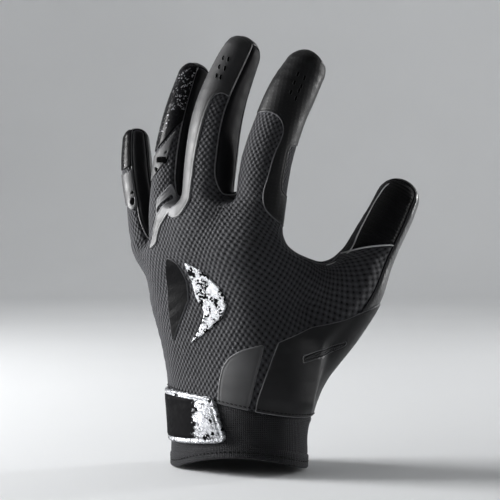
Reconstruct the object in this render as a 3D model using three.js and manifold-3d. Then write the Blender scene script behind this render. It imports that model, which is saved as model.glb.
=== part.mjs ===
// A left-hand football receiver's glove that keeps the form of a hand.
// The origin is the centre of the wrist opening, +Z runs up to the fingertips and -Y is the back of the hand.
// The body is a smooth union of round strands, one for each digit. A flat pattern of the glove is laid
// over it, and every panel is a piece of that pattern given the thickness of its cloth.
import * as THREE from "three";
import Module from "manifold-3d";

const wasm = await Module();
wasm.setup();
const { Manifold } = wasm;

// Driving dimensions in millimetres
const GLOVE_HEIGHT = 235;
const CLOTH = 1.3;
const CUFF_CLOTH = 2.2;
const SEAM_GAP = 0.34;
const FILM_LIFT = 0.34;
const FILM = 1.0;
const STRAP_LIFT = 0.36;
const STRAP = 2.0;
const EMBLEM = 1.1;
const FACET_LIFT = 0.2;

// Angles in degrees
const SEAM_ANGLE = 56;
const TIP_SPREAD = 50;

// Blending of the strands in millimetres
const PALM_BLEND = 16;
const CROTCH_BLEND = 2.3;
const WEB_BLEND = 14;
const THUMB_BLEND = 16;

// The slanted seam between hand and cuff, and the arch of the hem
const CUFF_SEAM_UP = 34.7;
const CUFF_SEAM_SLOPE = -0.21;
const HEM_ARCH = 9.5;
const HEM_HALF_WIDTH = 37;

// Strands. Columns: across, depth, up and radius as shares of the glove height, then the facing of the
// back in degrees, turned from -Y towards -X.
const STRANDS = {
  little: [
    [-0.0574, 0.0340, -0.0340, 0.1038, 30],
    [-0.0574, 0.0340, 0.0766, 0.1038, 30],
    [-0.0681, 0.0404, 0.1617, 0.1004, 32],
    [-0.0894, 0.0511, 0.2426, 0.0906, 36],
    [-0.1191, 0.0723, 0.3191, 0.0787, 42],
    [-0.1532, 0.1000, 0.3915, 0.0640, 50],
    [-0.1765, 0.1234, 0.4596, 0.0510, 58],
    [-0.2290, 0.1404, 0.5300, 0.0411, 66],
    [-0.2455, 0.1660, 0.6167, 0.0374, 72],
    [-0.2570, 0.1872, 0.6797, 0.0374, 73],
    [-0.2619, 0.2085, 0.7309, 0.0366, 74],
    [-0.2651, 0.2298, 0.7790, 0.0323, 74],
  ],
  ring: [
    [-0.0191, 0.0128, -0.0340, 0.1040, 30],
    [-0.0191, 0.0128, 0.0766, 0.1040, 30],
    [-0.0234, 0.0149, 0.1617, 0.0996, 31],
    [-0.0340, 0.0213, 0.2426, 0.0894, 33],
    [-0.0638, 0.0340, 0.3191, 0.0787, 36],
    [-0.1021, 0.0511, 0.3915, 0.0702, 40],
    [-0.1362, 0.0638, 0.4596, 0.0638, 44],
    [-0.1617, 0.0723, 0.5277, 0.0553, 46],
    [-0.1699, 0.0787, 0.5896, 0.0511, 48],
    [-0.1644, 0.0872, 0.6742, 0.0502, 49],
    [-0.1546, 0.1043, 0.7599, 0.0481, 50],
    [-0.1386, 0.1234, 0.8419, 0.0447, 50],
    [-0.1164, 0.1447, 0.9252, 0.0383, 50],
  ],
  middle: [
    [0.0191, -0.0128, -0.0340, 0.1040, 30],
    [0.0191, -0.0128, 0.0766, 0.1040, 30],
    [0.0191, -0.0128, 0.1617, 0.0996, 31],
    [0.0128, -0.0128, 0.2426, 0.0894, 32],
    [-0.0085, -0.0043, 0.3191, 0.0787, 34],
    [-0.0383, 0.0000, 0.3915, 0.0723, 37],
    [-0.0638, 0.0000, 0.4596, 0.0660, 40],
    [-0.0787, 0.0000, 0.5277, 0.0617, 43],
    [-0.0785, 0.0043, 0.6110, 0.0579, 45],
    [-0.0696, 0.0191, 0.7175, 0.0596, 45],
    [-0.0572, 0.0383, 0.8090, 0.0583, 43],
    [-0.0361, 0.0536, 0.8844, 0.0536, 39],
    [-0.0017, 0.0702, 0.9703, 0.0460, 33],
  ],
  index: [
    [0.0420, -0.0330, -0.0340, 0.1020, 30],
    [0.0440, -0.0335, 0.0766, 0.1020, 30],
    [0.0505, -0.0355, 0.1617, 0.0990, 29],
    [0.0553, -0.0383, 0.2426, 0.0894, 28],
    [0.0468, -0.0404, 0.3191, 0.0787, 27],
    [0.0383, -0.0447, 0.3915, 0.0723, 26],
    [0.0298, -0.0489, 0.4596, 0.0660, 26],
    [0.0319, -0.0511, 0.5277, 0.0596, 26],
    [0.0418, -0.0489, 0.5861, 0.0562, 26],
    [0.0585, -0.0362, 0.7067, 0.0570, 26],
    [0.0926, -0.0213, 0.8123, 0.0536, 26],
    [0.1202, -0.0106, 0.8740, 0.0528, 26],
    [0.1479, 0.0000, 0.9245, 0.0468, 26],
  ],
  thumb: [
    [0.0985, 0.0085, 0.1887, 0.0723, 22],
    [0.1505, 0.0170, 0.2584, 0.0732, 22],
    [0.2128, 0.0340, 0.3304, 0.0715, 22],
    [0.2417, 0.0404, 0.3679, 0.0668, 21],
    [0.2708, 0.0489, 0.4199, 0.0621, 20],
    [0.3123, 0.0596, 0.5055, 0.0591, 20],
    [0.3536, 0.0702, 0.5822, 0.0545, 20],
    [0.3744, 0.0766, 0.6256, 0.0515, 20],
  ],
  web: [
    [0.0211, -0.0383, 0.4778, 0.0511, 26],
    [0.1060, -0.0165, 0.4555, 0.0468, 24],
    [0.1811, 0.0170, 0.4310, 0.0451, 22],
    [0.2588, 0.0468, 0.4176, 0.0511, 20],
  ],
};

// The flat pattern. Columns: first column, columns wide, row of the fingertip, row where the finger leaves
// the hand, and how far the back seam lies over the tip.
const FINGERS = {
  little: { first: 0, wide: 4, tip: 21, root: 13, over: 0.75 },
  ring: { first: 5, wide: 4, tip: 26, root: 16, over: 0.75 },
  middle: { first: 10, wide: 4, tip: 27, root: 16, over: 0.75 },
  index: { first: 15, wide: 4, tip: 26, root: 16, over: 0.42 },
};
const FINGER_NAMES = Object.keys(FINGERS);
const GAPS = [
  { column: 4, row: 13, name: "fourchette_ring_little" },
  { column: 9, row: 16, name: "fourchette_middle_ring" },
  { column: 14, row: 16, name: "fourchette_index_middle" },
];
const CUFF_ROWS = 4;
const CUFF_SHARES = [0, 0.13, 0.42, 0.71, 1];
const EDGE_COLUMN = FINGERS.index.first + FINGERS.index.wide;

// First heights of the pattern's rows up to the finger roots, as shares of the glove height
const CUFF_START = 0.0638;
const ROW_UP = [
  0, 0, 0, 0, 0.1477, 0.1957, 0.2383, 0.2809, 0.3234, 0.3660, 0.4085, 0.4468, 0.4809, 0.5277, 0.5617, 0.5957, 0.6298,
];

// Where the blend narrows from palm to crotch: from and to as shares of the glove height
const NARROW_LITTLE = { from: 0.4255, to: 0.5532 };
const NARROW_MIDDLE = { from: 0.4766, to: 0.6426 };

// Depths over which the arch of the hem fades out round the sides, as shares of the glove height
const HEM_FADE = { from: -0.0426, to: 0.0638 };

// The thumb leaves the radial edge between two rows. Columns: distance from the tip centre along the
// thumb, and how much further the outer side reaches than the web side, as shares of the glove height.
const THUMB = { low: 6, high: 11, seam: 4, over: 0.75 };
const THUMB_COLUMNS = [
  [0.2979, 0.0170],
  [0.2638, 0.0383],
  [0.2255, 0.0638],
  [0.1872, 0.0809],
  [0.1447, 0.0894],
  [0.1064, 0.0638],
  [0.0702, 0.0383],
  [0.0340, 0.0128],
  [0, 0],
];
const THUMB_TIP = THUMB_COLUMNS.length;

// The seam line round the web between index finger and thumb. Columns: pattern column, row, then across,
// depth and up of the back seam, then the same of the middle of the gusset.
const WEB_LINE = [
  [19, 13, 0.0979, -0.0617, 0.5216, 0.0990, -0.0274, 0.5244],
  [19, 12, 0.1240, -0.0213, 0.4990, 0.1211, 0.0075, 0.4925],
  [19, 11, 0.1547, -0.0213, 0.4811, 0.1546, 0.0127, 0.4829],
  [20, 11, 0.1775, -0.0132, 0.4718, 0.1777, 0.0215, 0.4775],
  [21, 11, 0.1977, -0.0047, 0.4698, 0.1962, 0.0297, 0.4785],
  [22, 11, 0.2142, 0.0015, 0.4737, 0.2109, 0.0353, 0.4831],
];

// Outlines of the films and tabs on the back. Columns: across and up as shares of the glove height.
const OUTLINES = {
  index: [
    [0.0325, 0.8195], [0.0508, 0.8207], [0.0622, 0.8207], [0.0759, 0.8161], [0.0873, 0.8070],
    [0.0941, 0.7933], [0.0964, 0.7773], [0.0896, 0.7544], [0.0782, 0.7316], [0.0690, 0.7042],
    [0.0599, 0.6700], [0.0508, 0.6425], [0.0485, 0.6243], [0.0508, 0.6037], [0.0599, 0.5889],
    [0.0759, 0.5740], [0.0941, 0.5603], [0.1101, 0.5375], [0.1444, 0.5284], [0.2380, 0.8024],
    [0.2380, 0.9851], [0.0896, 0.9965], [0.0096, 0.8367],
  ],
  indexVent: [
    [0.1131, 0.7413], [0.1361, 0.7494], [0.1292, 0.6551], [0.1039, 0.6297], [0.0935, 0.6436],
    [0.0954, 0.6666], [0.1016, 0.6988], [0.1073, 0.7264],
  ],
  middle: [
    [-0.0114, 0.8605], [-0.0277, 0.8617], [-0.0416, 0.8710], [-0.0555, 0.8698], [-0.0659, 0.8605],
    [-0.0741, 0.8420], [-0.0834, 0.8165], [-0.0903, 0.7909], [-0.0973, 0.7608], [-0.1019, 0.7352],
    [-0.1066, 0.7074], [-0.1089, 0.6842], [-0.1124, 0.6610], [-0.1151, 0.6378], [-0.1170, 0.6216],
    [-0.1205, 0.6099], [-0.1286, 0.5914], [-0.1402, 0.5717], [-0.1513, 0.5844], [-0.1646, 0.5717],
    [-0.1785, 0.5566], [-0.1866, 0.5334], [-0.1885, 0.5195], [-0.2045, 0.5044], [-0.2049, 0.5218],
    [-0.2033, 0.5403], [-0.2005, 0.5566], [-0.1971, 0.5682], [-0.1936, 0.5821], [-0.1924, 0.5921],
    [-0.1947, 0.6099], [-0.1982, 0.6285], [-0.1808, 0.6471], [-0.1646, 0.6656], [-0.1541, 0.6448],
    [-0.1483, 0.6308], [-0.1414, 0.6540], [-0.1379, 0.6796], [-0.1344, 0.7260], [-0.1286, 0.7677],
    [-0.1263, 0.7840], [-0.1182, 0.8165], [-0.1066, 0.8536], [-0.0973, 0.8814], [-0.0834, 0.9116],
    [-0.0671, 0.9418], [-0.0485, 0.9789], [-0.0207, 1.0160], [0.0489, 1.0253], [0.0721, 0.9464],
    [0.0257, 0.8536],
  ],
  knuckleSlot: [[-0.1905, 0.6007], [-0.1646, 0.6360], [-0.1599, 0.6278], [-0.1881, 0.5913]],
  ringTip: [
    [-0.2324, 0.7300], [-0.2046, 0.7421], [-0.1962, 0.7530], [-0.1793, 0.7699], [-0.1672, 0.7868],
    [-0.1552, 0.8000], [-0.1383, 0.8169], [-0.0876, 0.8676], [-0.0634, 0.9883], [-0.2203, 1.0004],
  ],
  ringSide: [
    [-0.1523, 0.7944], [-0.1667, 0.7800], [-0.1787, 0.7631], [-0.1908, 0.7487], [-0.2028, 0.7354],
    [-0.2245, 0.7222], [-0.2293, 0.6740], [-0.2161, 0.6692], [-0.2100, 0.6757], [-0.2004, 0.6897],
    [-0.1884, 0.7046], [-0.1787, 0.7174], [-0.1739, 0.7270], [-0.1691, 0.7439], [-0.1643, 0.7655],
    [-0.1571, 0.7800],
  ],
  littleTip: [
    [-0.3213, 0.7015], [-0.2915, 0.7028], [-0.2791, 0.7077], [-0.2692, 0.7152], [-0.2444, 0.7263],
    [-0.2394, 0.8479], [-0.3263, 0.8479],
  ],
  littleSide: [
    [-0.3204, 0.6911], [-0.2907, 0.6936], [-0.2783, 0.6985], [-0.2672, 0.7072], [-0.2437, 0.7134],
    [-0.2412, 0.6391], [-0.2536, 0.6144], [-0.2659, 0.5971], [-0.2746, 0.6082], [-0.2833, 0.6169],
    [-0.3253, 0.6193],
  ],
  wristSmall: [
    [-0.0495, 0.1400], [-0.0515, 0.1790], [-0.0490, 0.2072], [-0.0420, 0.2386], [-0.0335, 0.2543],
    [-0.0227, 0.2666], [0.0009, 0.2801], [0.0278, 0.2879], [0.0547, 0.2935], [0.0390, 0.2318],
    [0.0156, 0.1400],
  ],
  wristLarge: [
    [0.0825, 0.2985], [0.1493, 0.3194], [0.2213, 0.3413], [0.2483, 0.3480], [0.3001, 0.3683],
    [0.3586, 0.3908], [0.3586, 0.2918], [0.2348, 0.1680], [0.2011, 0.0900], [0.0301, 0.1300],
    [0.0357, 0.1680],
  ],
  wristSlot: [
    [0.1336, 0.2611], [0.1916, 0.2775], [0.2439, 0.2930], [0.2427, 0.2850], [0.1916, 0.2657],
    [0.1347, 0.2498],
  ],
  strap: [
    [-0.2762, 0.1831], [-0.1573, 0.1808], [-0.0979, 0.1762], [-0.0681, 0.1735], [-0.0601, 0.1694],
    [-0.0544, 0.1602], [-0.0430, 0.1236], [-0.0315, 0.0882], [-0.0338, 0.0790], [-0.0430, 0.0726],
    [-0.0933, 0.0664], [-0.1665, 0.0600], [-0.2762, 0.0539],
  ],
  emblemDark: [
    [-0.1624, 0.4895], [-0.1372, 0.4734], [-0.1223, 0.4344], [-0.1188, 0.3909], [-0.1395, 0.3404],
    [-0.1578, 0.2876], [-0.1693, 0.3679], [-0.1716, 0.4413],
  ],
  emblemLight: [
    [-0.1263, 0.4782], [-0.0815, 0.4554], [-0.0428, 0.4212], [-0.0291, 0.3824], [-0.0428, 0.3505],
    [-0.0770, 0.3186], [-0.1180, 0.2866], [-0.0907, 0.3322], [-0.0815, 0.3642], [-0.1013, 0.3915],
    [-0.1128, 0.4348],
  ],
};

const radians = (degrees) => (degrees * Math.PI) / 180;
const mix = (a, b, t) => a + (b - a) * t;

function smoothStep(value, low, high) {
  const t = Math.min(1, Math.max(0, (value - low) / (high - low)));
  return t * t * (3 - 2 * t);
}

// A strand's rows made into a smooth line of places, each with radius, facing and distance along
function smoothLine(rows, steps) {
  const scaled = rows.map((row) => row.map((v, i) => (i < 4 ? v * GLOVE_HEIGHT : v)));
  const last = scaled.length - 1;
  const before = scaled[0].map((v, i) => 2 * v - scaled[1][i]);
  const after = scaled[last].map((v, i) => 2 * v - scaled[last - 1][i]);
  const all = [before, ...scaled, after];
  const line = [];
  for (let k = 1; k < all.length - 2; k++) {
    for (let n = 0; n < steps; n++) {
      const t = n / steps;
      const [a, b, c, d] = all.slice(k - 1, k + 3);
      line.push(
        b.map((_, i) => {
          const cubic = (3 * b[i] - a[i] - 3 * c[i] + d[i]) * t ** 3;
          return 0.5 * (2 * b[i] + (c[i] - a[i]) * t + (2 * a[i] - 5 * b[i] + 4 * c[i] - d[i]) * t * t + cubic);
        }),
      );
    }
  }
  line.push(scaled[last]);
  const places = line.map((row) => ({
    at: new THREE.Vector3(row[0], row[1], row[2]),
    radius: row[3],
    facing: row[4],
    along: 0,
  }));
  for (let k = 1; k < places.length; k++) {
    places[k].along = places[k - 1].along + places[k].at.distanceTo(places[k - 1].at);
  }
  return places;
}

const lines = {};
for (const name of Object.keys(STRANDS)) {
  lines[name] = smoothLine(STRANDS[name], 3);
}

// Distance of a point from a strand's skin, negative inside
function strandDistance(line, p) {
  let best = Infinity;
  for (let k = 1; k < line.length; k++) {
    const a = line[k - 1].at;
    const b = line[k].at;
    const ux = b.x - a.x;
    const uy = b.y - a.y;
    const uz = b.z - a.z;
    const along = (p.x - a.x) * ux + (p.y - a.y) * uy + (p.z - a.z) * uz;
    const t = Math.min(1, Math.max(0, along / (ux * ux + uy * uy + uz * uz)));
    const dx = p.x - a.x - ux * t;
    const dy = p.y - a.y - uy * t;
    const dz = p.z - a.z - uz * t;
    const radius = mix(line[k - 1].radius, line[k].radius, t);
    best = Math.min(best, Math.sqrt(dx * dx + dy * dy + dz * dz) - radius);
  }
  return best;
}

function blend(a, b, width) {
  const h = Math.max(width - Math.abs(a - b), 0) / width;
  return Math.min(a, b) - h * h * width * 0.25;
}

// The glove's skin is where this is zero
function skin(p) {
  const up = p.z / GLOVE_HEIGHT;
  const low = mix(PALM_BLEND, CROTCH_BLEND, smoothStep(up, NARROW_LITTLE.from, NARROW_LITTLE.to));
  const high = mix(PALM_BLEND, CROTCH_BLEND, smoothStep(up, NARROW_MIDDLE.from, NARROW_MIDDLE.to));
  let f = strandDistance(lines.little, p);
  f = blend(f, strandDistance(lines.ring, p), low);
  f = blend(f, strandDistance(lines.middle, p), high);
  f = blend(f, strandDistance(lines.index, p), high);
  f = blend(f, strandDistance(lines.web, p), WEB_BLEND);
  return blend(f, strandDistance(lines.thumb, p), THUMB_BLEND);
}

function outward(p) {
  const e = 0.25;
  const q = p.clone();
  const grad = new THREE.Vector3();
  for (const axis of ["x", "y", "z"]) {
    q[axis] = p[axis] + e;
    const up = skin(q);
    q[axis] = p[axis] - e;
    grad[axis] = (up - skin(q)) / (2 * e);
    q[axis] = p[axis];
  }
  return grad;
}

// Moves a point onto the skin; a level point keeps its height
function settle(p, level, times) {
  for (let n = 0; n < times; n++) {
    const f = skin(p);
    if (Math.abs(f) < 0.01) return;
    const g = outward(p);
    if (level) g.z = 0;
    const size = Math.max(g.lengthSq(), 0.05);
    const step = Math.max(-4, Math.min(4, f / Math.sqrt(size)));
    p.addScaledVector(g, -step / Math.sqrt(size));
  }
}

// A place on a strand found by height or by distance along it
function placeBy(line, key, value) {
  const read = (place) => (key === "up" ? place.at.z : place.along);
  let k = 1;
  while (k < line.length - 1 && read(line[k]) < value) k++;
  const a = line[k - 1];
  const b = line[k];
  const t = (value - read(a)) / (read(b) - read(a));
  const tangent = b.at.clone().sub(a.at).normalize();
  const facing = radians(mix(a.facing, b.facing, t));
  const back = new THREE.Vector3(-Math.sin(facing), -Math.cos(facing), 0);
  back.addScaledVector(tangent, -back.dot(tangent)).normalize();
  return {
    at: a.at.clone().lerp(b.at, t),
    radius: mix(a.radius, b.radius, t),
    along: mix(a.along, b.along, t),
    tangent,
    back,
    side: tangent.clone().cross(back),
  };
}

function onSection(place, degrees) {
  const angle = radians(degrees);
  const reach = place.radius;
  return place.at
    .clone()
    .addScaledVector(place.back, Math.cos(angle) * reach)
    .addScaledVector(place.side, Math.sin(angle) * reach);
}

// A point on the rounded end of a digit: share across from -1 to 1, lift 1 back, 0 middle, -1 palm
function onTip(place, across, lift, over) {
  const toward = place.tangent
    .clone()
    .addScaledVector(place.side, Math.tan(radians(TIP_SPREAD * across)))
    .addScaledVector(place.back, lift * over)
    .normalize();
  return place.at.clone().addScaledVector(toward, place.radius);
}

const LAYER_LIFT = { back: 1, edge: 0, palm: -1 };
const PRISM_START = -0.2553;

// The angle round a digit for a share across from -1 to 1
function angleOf(across, layer) {
  if (layer === "edge") return Math.sign(across) * 90;
  return layer === "back" ? across * SEAM_ANGLE : 180 - across * SEAM_ANGLE;
}

function hasCell(i, j) {
  if (i < 0 || j < 0) return false;
  if (i >= EDGE_COLUMN) return i < EDGE_COLUMN + THUMB_TIP && j >= THUMB.low && j < THUMB.high;
  const gap = GAPS.find((g) => g.column === i);
  if (gap) return j < gap.row;
  const finger = Object.values(FINGERS).find((g) => i >= g.first && i < g.first + g.wide);
  return j < finger.tip;
}

const cuffSeamUp = (x) => CUFF_SEAM_UP + CUFF_SEAM_SLOPE * x;

function hemUp(x, y) {
  const rise = Math.max(0, 1 - (x / HEM_HALF_WIDTH) ** 2);
  return HEM_ARCH * rise * smoothStep(-y / GLOVE_HEIGHT, HEM_FADE.from, HEM_FADE.to);
}

function cuffUp(row, p) {
  return mix(hemUp(p.x, p.y), cuffSeamUp(p.x), CUFF_SHARES[row]);
}

// A pattern point held on the web line, or nothing
function webPlace(i, j, layer) {
  const row = WEB_LINE.find((r) => r[0] === i && r[1] === j);
  if (!row || layer === "palm") return null;
  const [across, depth, up] = layer === "back" ? row.slice(2, 5) : row.slice(5, 8);
  return new THREE.Vector3(across, depth, up).multiplyScalar(GLOVE_HEIGHT);
}

// First position of one pattern point
function firstPosition(i, j, layer) {
  const web = webPlace(i, j, layer);
  if (web) return web;
  if (i > EDGE_COLUMN) {
    const column = i - EDGE_COLUMN;
    const across = 1 - (2 * (j - THUMB.low)) / (THUMB.high - THUMB.low);
    const line = lines.thumb;
    const end = line[line.length - 1].along;
    if (column === THUMB_TIP) return onTip(placeBy(line, "along", end), across, LAYER_LIFT[layer], THUMB.over);
    const [back, slant] = THUMB_COLUMNS[column].map((share) => share * GLOVE_HEIGHT);
    return onSection(placeBy(line, "along", end - back + (slant * across) / 2), angleOf(across, layer));
  }
  const name = FINGER_NAMES.find((n) => i <= FINGERS[n].first + FINGERS[n].wide);
  const finger = FINGERS[name];
  const line = lines[name];
  const across = (2 * (i - finger.first)) / finger.wide - 1;
  if (j <= finger.root) {
    const place = placeBy(line, "up", GLOVE_HEIGHT * (j < CUFF_ROWS ? CUFF_START : ROW_UP[j]));
    return onSection(place, angleOf(across, layer));
  }
  const end = line[line.length - 1].along;
  if (j === finger.tip) return onTip(placeBy(line, "along", end), across, LAYER_LIFT[layer], finger.over);
  const start = placeBy(line, "up", GLOVE_HEIGHT * ROW_UP[finger.root]).along;
  const share = (j - finger.root) / (finger.tip - 1 - finger.root);
  return onSection(placeBy(line, "along", mix(start, end, share)), angleOf(across, layer));
}

// How a point may move: cuff points keep their height, fingers and thumb end stay where they are
function ruleOf(i, j, layer) {
  if (webPlace(i, j, layer)) return "fixed";
  if (i > EDGE_COLUMN + THUMB.seam - 1) return "fixed";
  if (i > EDGE_COLUMN) return "free";
  if (j <= CUFF_ROWS) return "cuff";
  const name = FINGER_NAMES.find((n) => i <= FINGERS[n].first + FINGERS[n].wide);
  return j > FINGERS[name].root ? "fixed" : "free";
}

// Builds the closed pattern: points with their neighbours, and faces with the name of their panel
function buildPattern() {
  const points = new Map();
  const faces = [];
  const point = (i, j, layer) => {
    const key = i + "," + j + "," + layer;
    if (!points.has(key)) {
      const made = { key, i, j, layer, at: firstPosition(i, j, layer), rule: ruleOf(i, j, layer), near: new Set() };
      points.set(key, made);
    }
    return points.get(key);
  };
  const addFace = (corners, panel, kind, cell) => {
    faces.push({ corners, panel, kind, cell });
    corners.forEach((c, n) => {
      const next = corners[(n + 1) % corners.length];
      c.near.add(next);
      next.near.add(c);
    });
  };
  for (let i = 0; i < EDGE_COLUMN + THUMB_TIP; i++) {
    for (let j = 0; j < 27; j++) {
      if (!hasCell(i, j)) continue;
      const ring = [
        [i, j],
        [i + 1, j],
        [i + 1, j + 1],
        [i, j + 1],
      ];
      const isCuff = j < CUFF_ROWS;
      const backName = i >= EDGE_COLUMN + THUMB.seam ? "thumb_panel" : "back_panel";
      const cell = [i, j];
      addFace(ring.map(([a, b]) => point(a, b, "back")), isCuff ? "cuff" : backName, "back", cell);
      addFace(ring.map(([a, b]) => point(a, b, "palm")).reverse(), isCuff ? "cuff" : "palm_panel", "palm", cell);
      const beside = [
        [i, j - 1],
        [i + 1, j],
        [i, j + 1],
        [i - 1, j],
      ];
      beside.forEach(([a, b], n) => {
        if (hasCell(a, b) || (n === 0 && j === 0)) return;
        const panel = isCuff ? "cuff" : sidePanel(i, j, n);
        const p = ring[n];
        const q = ring[(n + 1) % 4];
        const upper = [point(...q, "back"), point(...p, "back"), point(...p, "edge"), point(...q, "edge")];
        const lower = [point(...q, "edge"), point(...p, "edge"), point(...p, "palm"), point(...q, "palm")];
        addFace(upper, panel, "side", cell);
        addFace(lower, panel, "side", cell);
      });
    }
  }
  return { points: [...points.values()], faces };
}

// The panel on the side wall of a cell: side 0 is below, 1 to the right, 2 above, 3 to the left
function sidePanel(i, j, side) {
  const gap = GAPS.find(
    (g) =>
      (side === 2 && i === g.column) || (side === 1 && i === g.column - 1) || (side === 3 && i === g.column + 1),
  );
  if (gap) return gap.name;
  if (side === 1 && i === EDGE_COLUMN - 1 && j >= THUMB.high) return "web_gusset";
  if (side === 2 && i >= EDGE_COLUMN) return "web_gusset";
  return "palm_panel";
}

function relax(points, times) {
  for (const p of points) {
    if (p.rule !== "fixed") settle(p.at, p.rule === "cuff", 12);
  }
  for (let n = 0; n < times; n++) {
    for (const p of points) {
      if (p.rule === "fixed") continue;
      const mean = new THREE.Vector3();
      for (const q of p.near) mean.add(q.at);
      mean.divideScalar(p.near.size);
      p.next = p.at.clone().lerp(mean, 0.5);
    }
    for (const p of points) {
      if (p.rule === "fixed") continue;
      p.at.copy(p.next);
      if (p.rule === "cuff") p.at.z = cuffUp(Math.min(p.j, CUFF_ROWS), p.at);
      settle(p.at, p.rule === "cuff", 2);
    }
  }
  for (const p of points) {
    if (p.rule === "cuff") p.at.z = cuffUp(Math.min(p.j, CUFF_ROWS), p.at);
    settle(p.at, p.rule === "cuff", 8);
    p.out = outward(p.at);
    if (p.rule === "cuff") p.out.z = 0;
    p.out.normalize();
  }
}

const pattern = buildPattern();
relax(pattern.points, 300);

const shared = (a, b) => a.key + "|" + b.key;

// Turns a set of faces into a closed shell between two offsets, its outer edge drawn in by a margin
function shellOf(faces, inner, outer, margin) {
  const edges = new Set();
  for (const { corners } of faces) {
    corners.forEach((c, n) => edges.add(shared(c, corners[(n + 1) % corners.length])));
  }
  const rim = [];
  const pull = new Map();
  for (const { corners } of faces) {
    const centre = corners.reduce((sum, c) => sum.add(c.at), new THREE.Vector3()).divideScalar(corners.length);
    corners.forEach((c, n) => {
      const next = corners[(n + 1) % corners.length];
      if (edges.has(shared(next, c))) return;
      rim.push([c, next]);
      const run = next.at.clone().sub(c.at).normalize();
      for (const end of [c, next]) {
        const inward = end.out.clone().cross(run).normalize();
        if (inward.dot(centre.clone().sub(c.at)) < 0) inward.negate();
        if (!pull.has(end)) pull.set(end, []);
        pull.get(end).push(inward);
      }
    });
  }
  const index = new Map();
  const positions = [];
  const place = (p) => {
    if (index.has(p)) return index.get(p);
    const base = p.at.clone();
    const ways = pull.get(p);
    if (ways && margin) {
      const sum = ways.reduce((total, w) => total.add(w), new THREE.Vector3());
      const first = ways[0];
      const second = ways[ways.length - 1];
      sum.multiplyScalar(ways.length > 1 ? 1 / Math.max(0.6, 1 + first.dot(second)) : 1);
      base.addScaledVector(sum, margin);
    }
    const made = positions.length / 6;
    const low = base.clone().addScaledVector(p.out, inner);
    const high = base.clone().addScaledVector(p.out, outer);
    positions.push(low.x, low.y, low.z, high.x, high.y, high.z);
    index.set(p, made);
    return made;
  };
  const triangles = [];
  const low = (p) => 2 * place(p);
  const high = (p) => 2 * place(p) + 1;
  for (const { corners } of faces) {
    const [a, b, c, d] = corners;
    triangles.push(high(a), high(b), high(c), high(a), high(c), high(d));
    triangles.push(low(a), low(c), low(b), low(a), low(d), low(c));
  }
  for (const [p, q] of rim) {
    triangles.push(high(p), low(p), high(q), low(p), low(q), high(q));
  }
  const mesh = new wasm.Mesh({
    numProp: 3,
    vertProperties: new Float32Array(positions),
    triVerts: new Uint32Array(triangles),
  });
  return new Manifold(mesh);
}

// A straight prism of an outline, running in depth from outside the back to a share of the glove height
function prism(outline, deep) {
  const from = PRISM_START * GLOVE_HEIGHT;
  const to = deep * GLOVE_HEIGHT;
  const shape = new THREE.Shape(
    outline.map(([across, up]) => new THREE.Vector2(across * GLOVE_HEIGHT, up * GLOVE_HEIGHT)),
  );
  const geometry = new THREE.ExtrudeGeometry(shape, { depth: to - from, bevelEnabled: false });
  geometry.rotateX(Math.PI / 2);
  geometry.translate(0, to, 0);
  const flat = geometry.getAttribute("position");
  const seen = new Map();
  const positions = [];
  const triangles = [];
  for (let k = 0; k < flat.count; k++) {
    const p = [flat.getX(k), flat.getY(k), flat.getZ(k)];
    const key = p.map((v) => Math.round(v * 1e3)).join(",");
    if (!seen.has(key)) {
      seen.set(key, positions.length / 3);
      positions.push(...p);
    }
    triangles.push(seen.get(key));
  }
  const mesh = new wasm.Mesh({
    numProp: 3,
    vertProperties: new Float32Array(positions),
    triVerts: new Uint32Array(triangles),
  });
  return new Manifold(mesh);
}

const largest = (solid) => solid.decompose().sort((a, b) => b.volume() - a.volume())[0];

// A film: faces of the skin lifted off it, cut to an outline, with its holes taken out
function film(faces, lift, thick, outline, holes, deep) {
  const low = FACET_LIFT + lift;
  let made = shellOf(faces, low, low + thick, 0).intersect(prism(outline, deep));
  for (const hole of holes) {
    made = made.subtract(prism(hole, deep));
  }
  return largest(made);
}

const part = new THREE.Group();
part.name = "football_glove";

function addNode(name, solid, look) {
  const mesh = solid.getMesh();
  const count = mesh.numProp;
  const positions = new Float32Array((mesh.vertProperties.length / count) * 3);
  for (let k = 0; k < positions.length / 3; k++) {
    positions.set(mesh.vertProperties.subarray(k * count, k * count + 3), k * 3);
  }
  const geometry = new THREE.BufferGeometry();
  geometry.setAttribute("position", new THREE.BufferAttribute(positions, 3));
  geometry.setIndex(new THREE.BufferAttribute(new Uint32Array(mesh.triVerts), 1));
  geometry.computeVertexNormals();
  const material = new THREE.MeshStandardMaterial(look);
  const node = new THREE.Mesh(geometry, material);
  node.name = name;
  part.add(node);
}

// Looks
const KNIT = { color: 0x2b2b30, roughness: 0.9, metalness: 0 };
const SMOOTH = { color: 0x15151a, roughness: 0.6, metalness: 0 };
const GRIP = { color: 0x101013, roughness: 0.25, metalness: 0 };
const FILM_LOOK = { color: 0x3a3a40, roughness: 0.5, metalness: 0 };
const FOIL = { color: 0xb8babf, roughness: 0.25, metalness: 1 };

// Panels of cloth
const PANELS = [
  { name: "back_panel", cloth: CLOTH, look: KNIT },
  { name: "palm_panel", cloth: CLOTH, look: GRIP },
  { name: "fourchette_index_middle", cloth: CLOTH, look: SMOOTH },
  { name: "fourchette_middle_ring", cloth: CLOTH, look: SMOOTH },
  { name: "fourchette_ring_little", cloth: CLOTH, look: SMOOTH },
  { name: "web_gusset", cloth: CLOTH, look: KNIT },
  { name: "thumb_panel", cloth: CLOTH, look: SMOOTH },
  { name: "cuff", cloth: CUFF_CLOTH, look: KNIT },
];
for (const panel of PANELS) {
  const faces = pattern.faces.filter((f) => f.panel === panel.name);
  addNode(panel.name, shellOf(faces, FACET_LIFT - panel.cloth, FACET_LIFT, SEAM_GAP / 2), panel.look);
}

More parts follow.
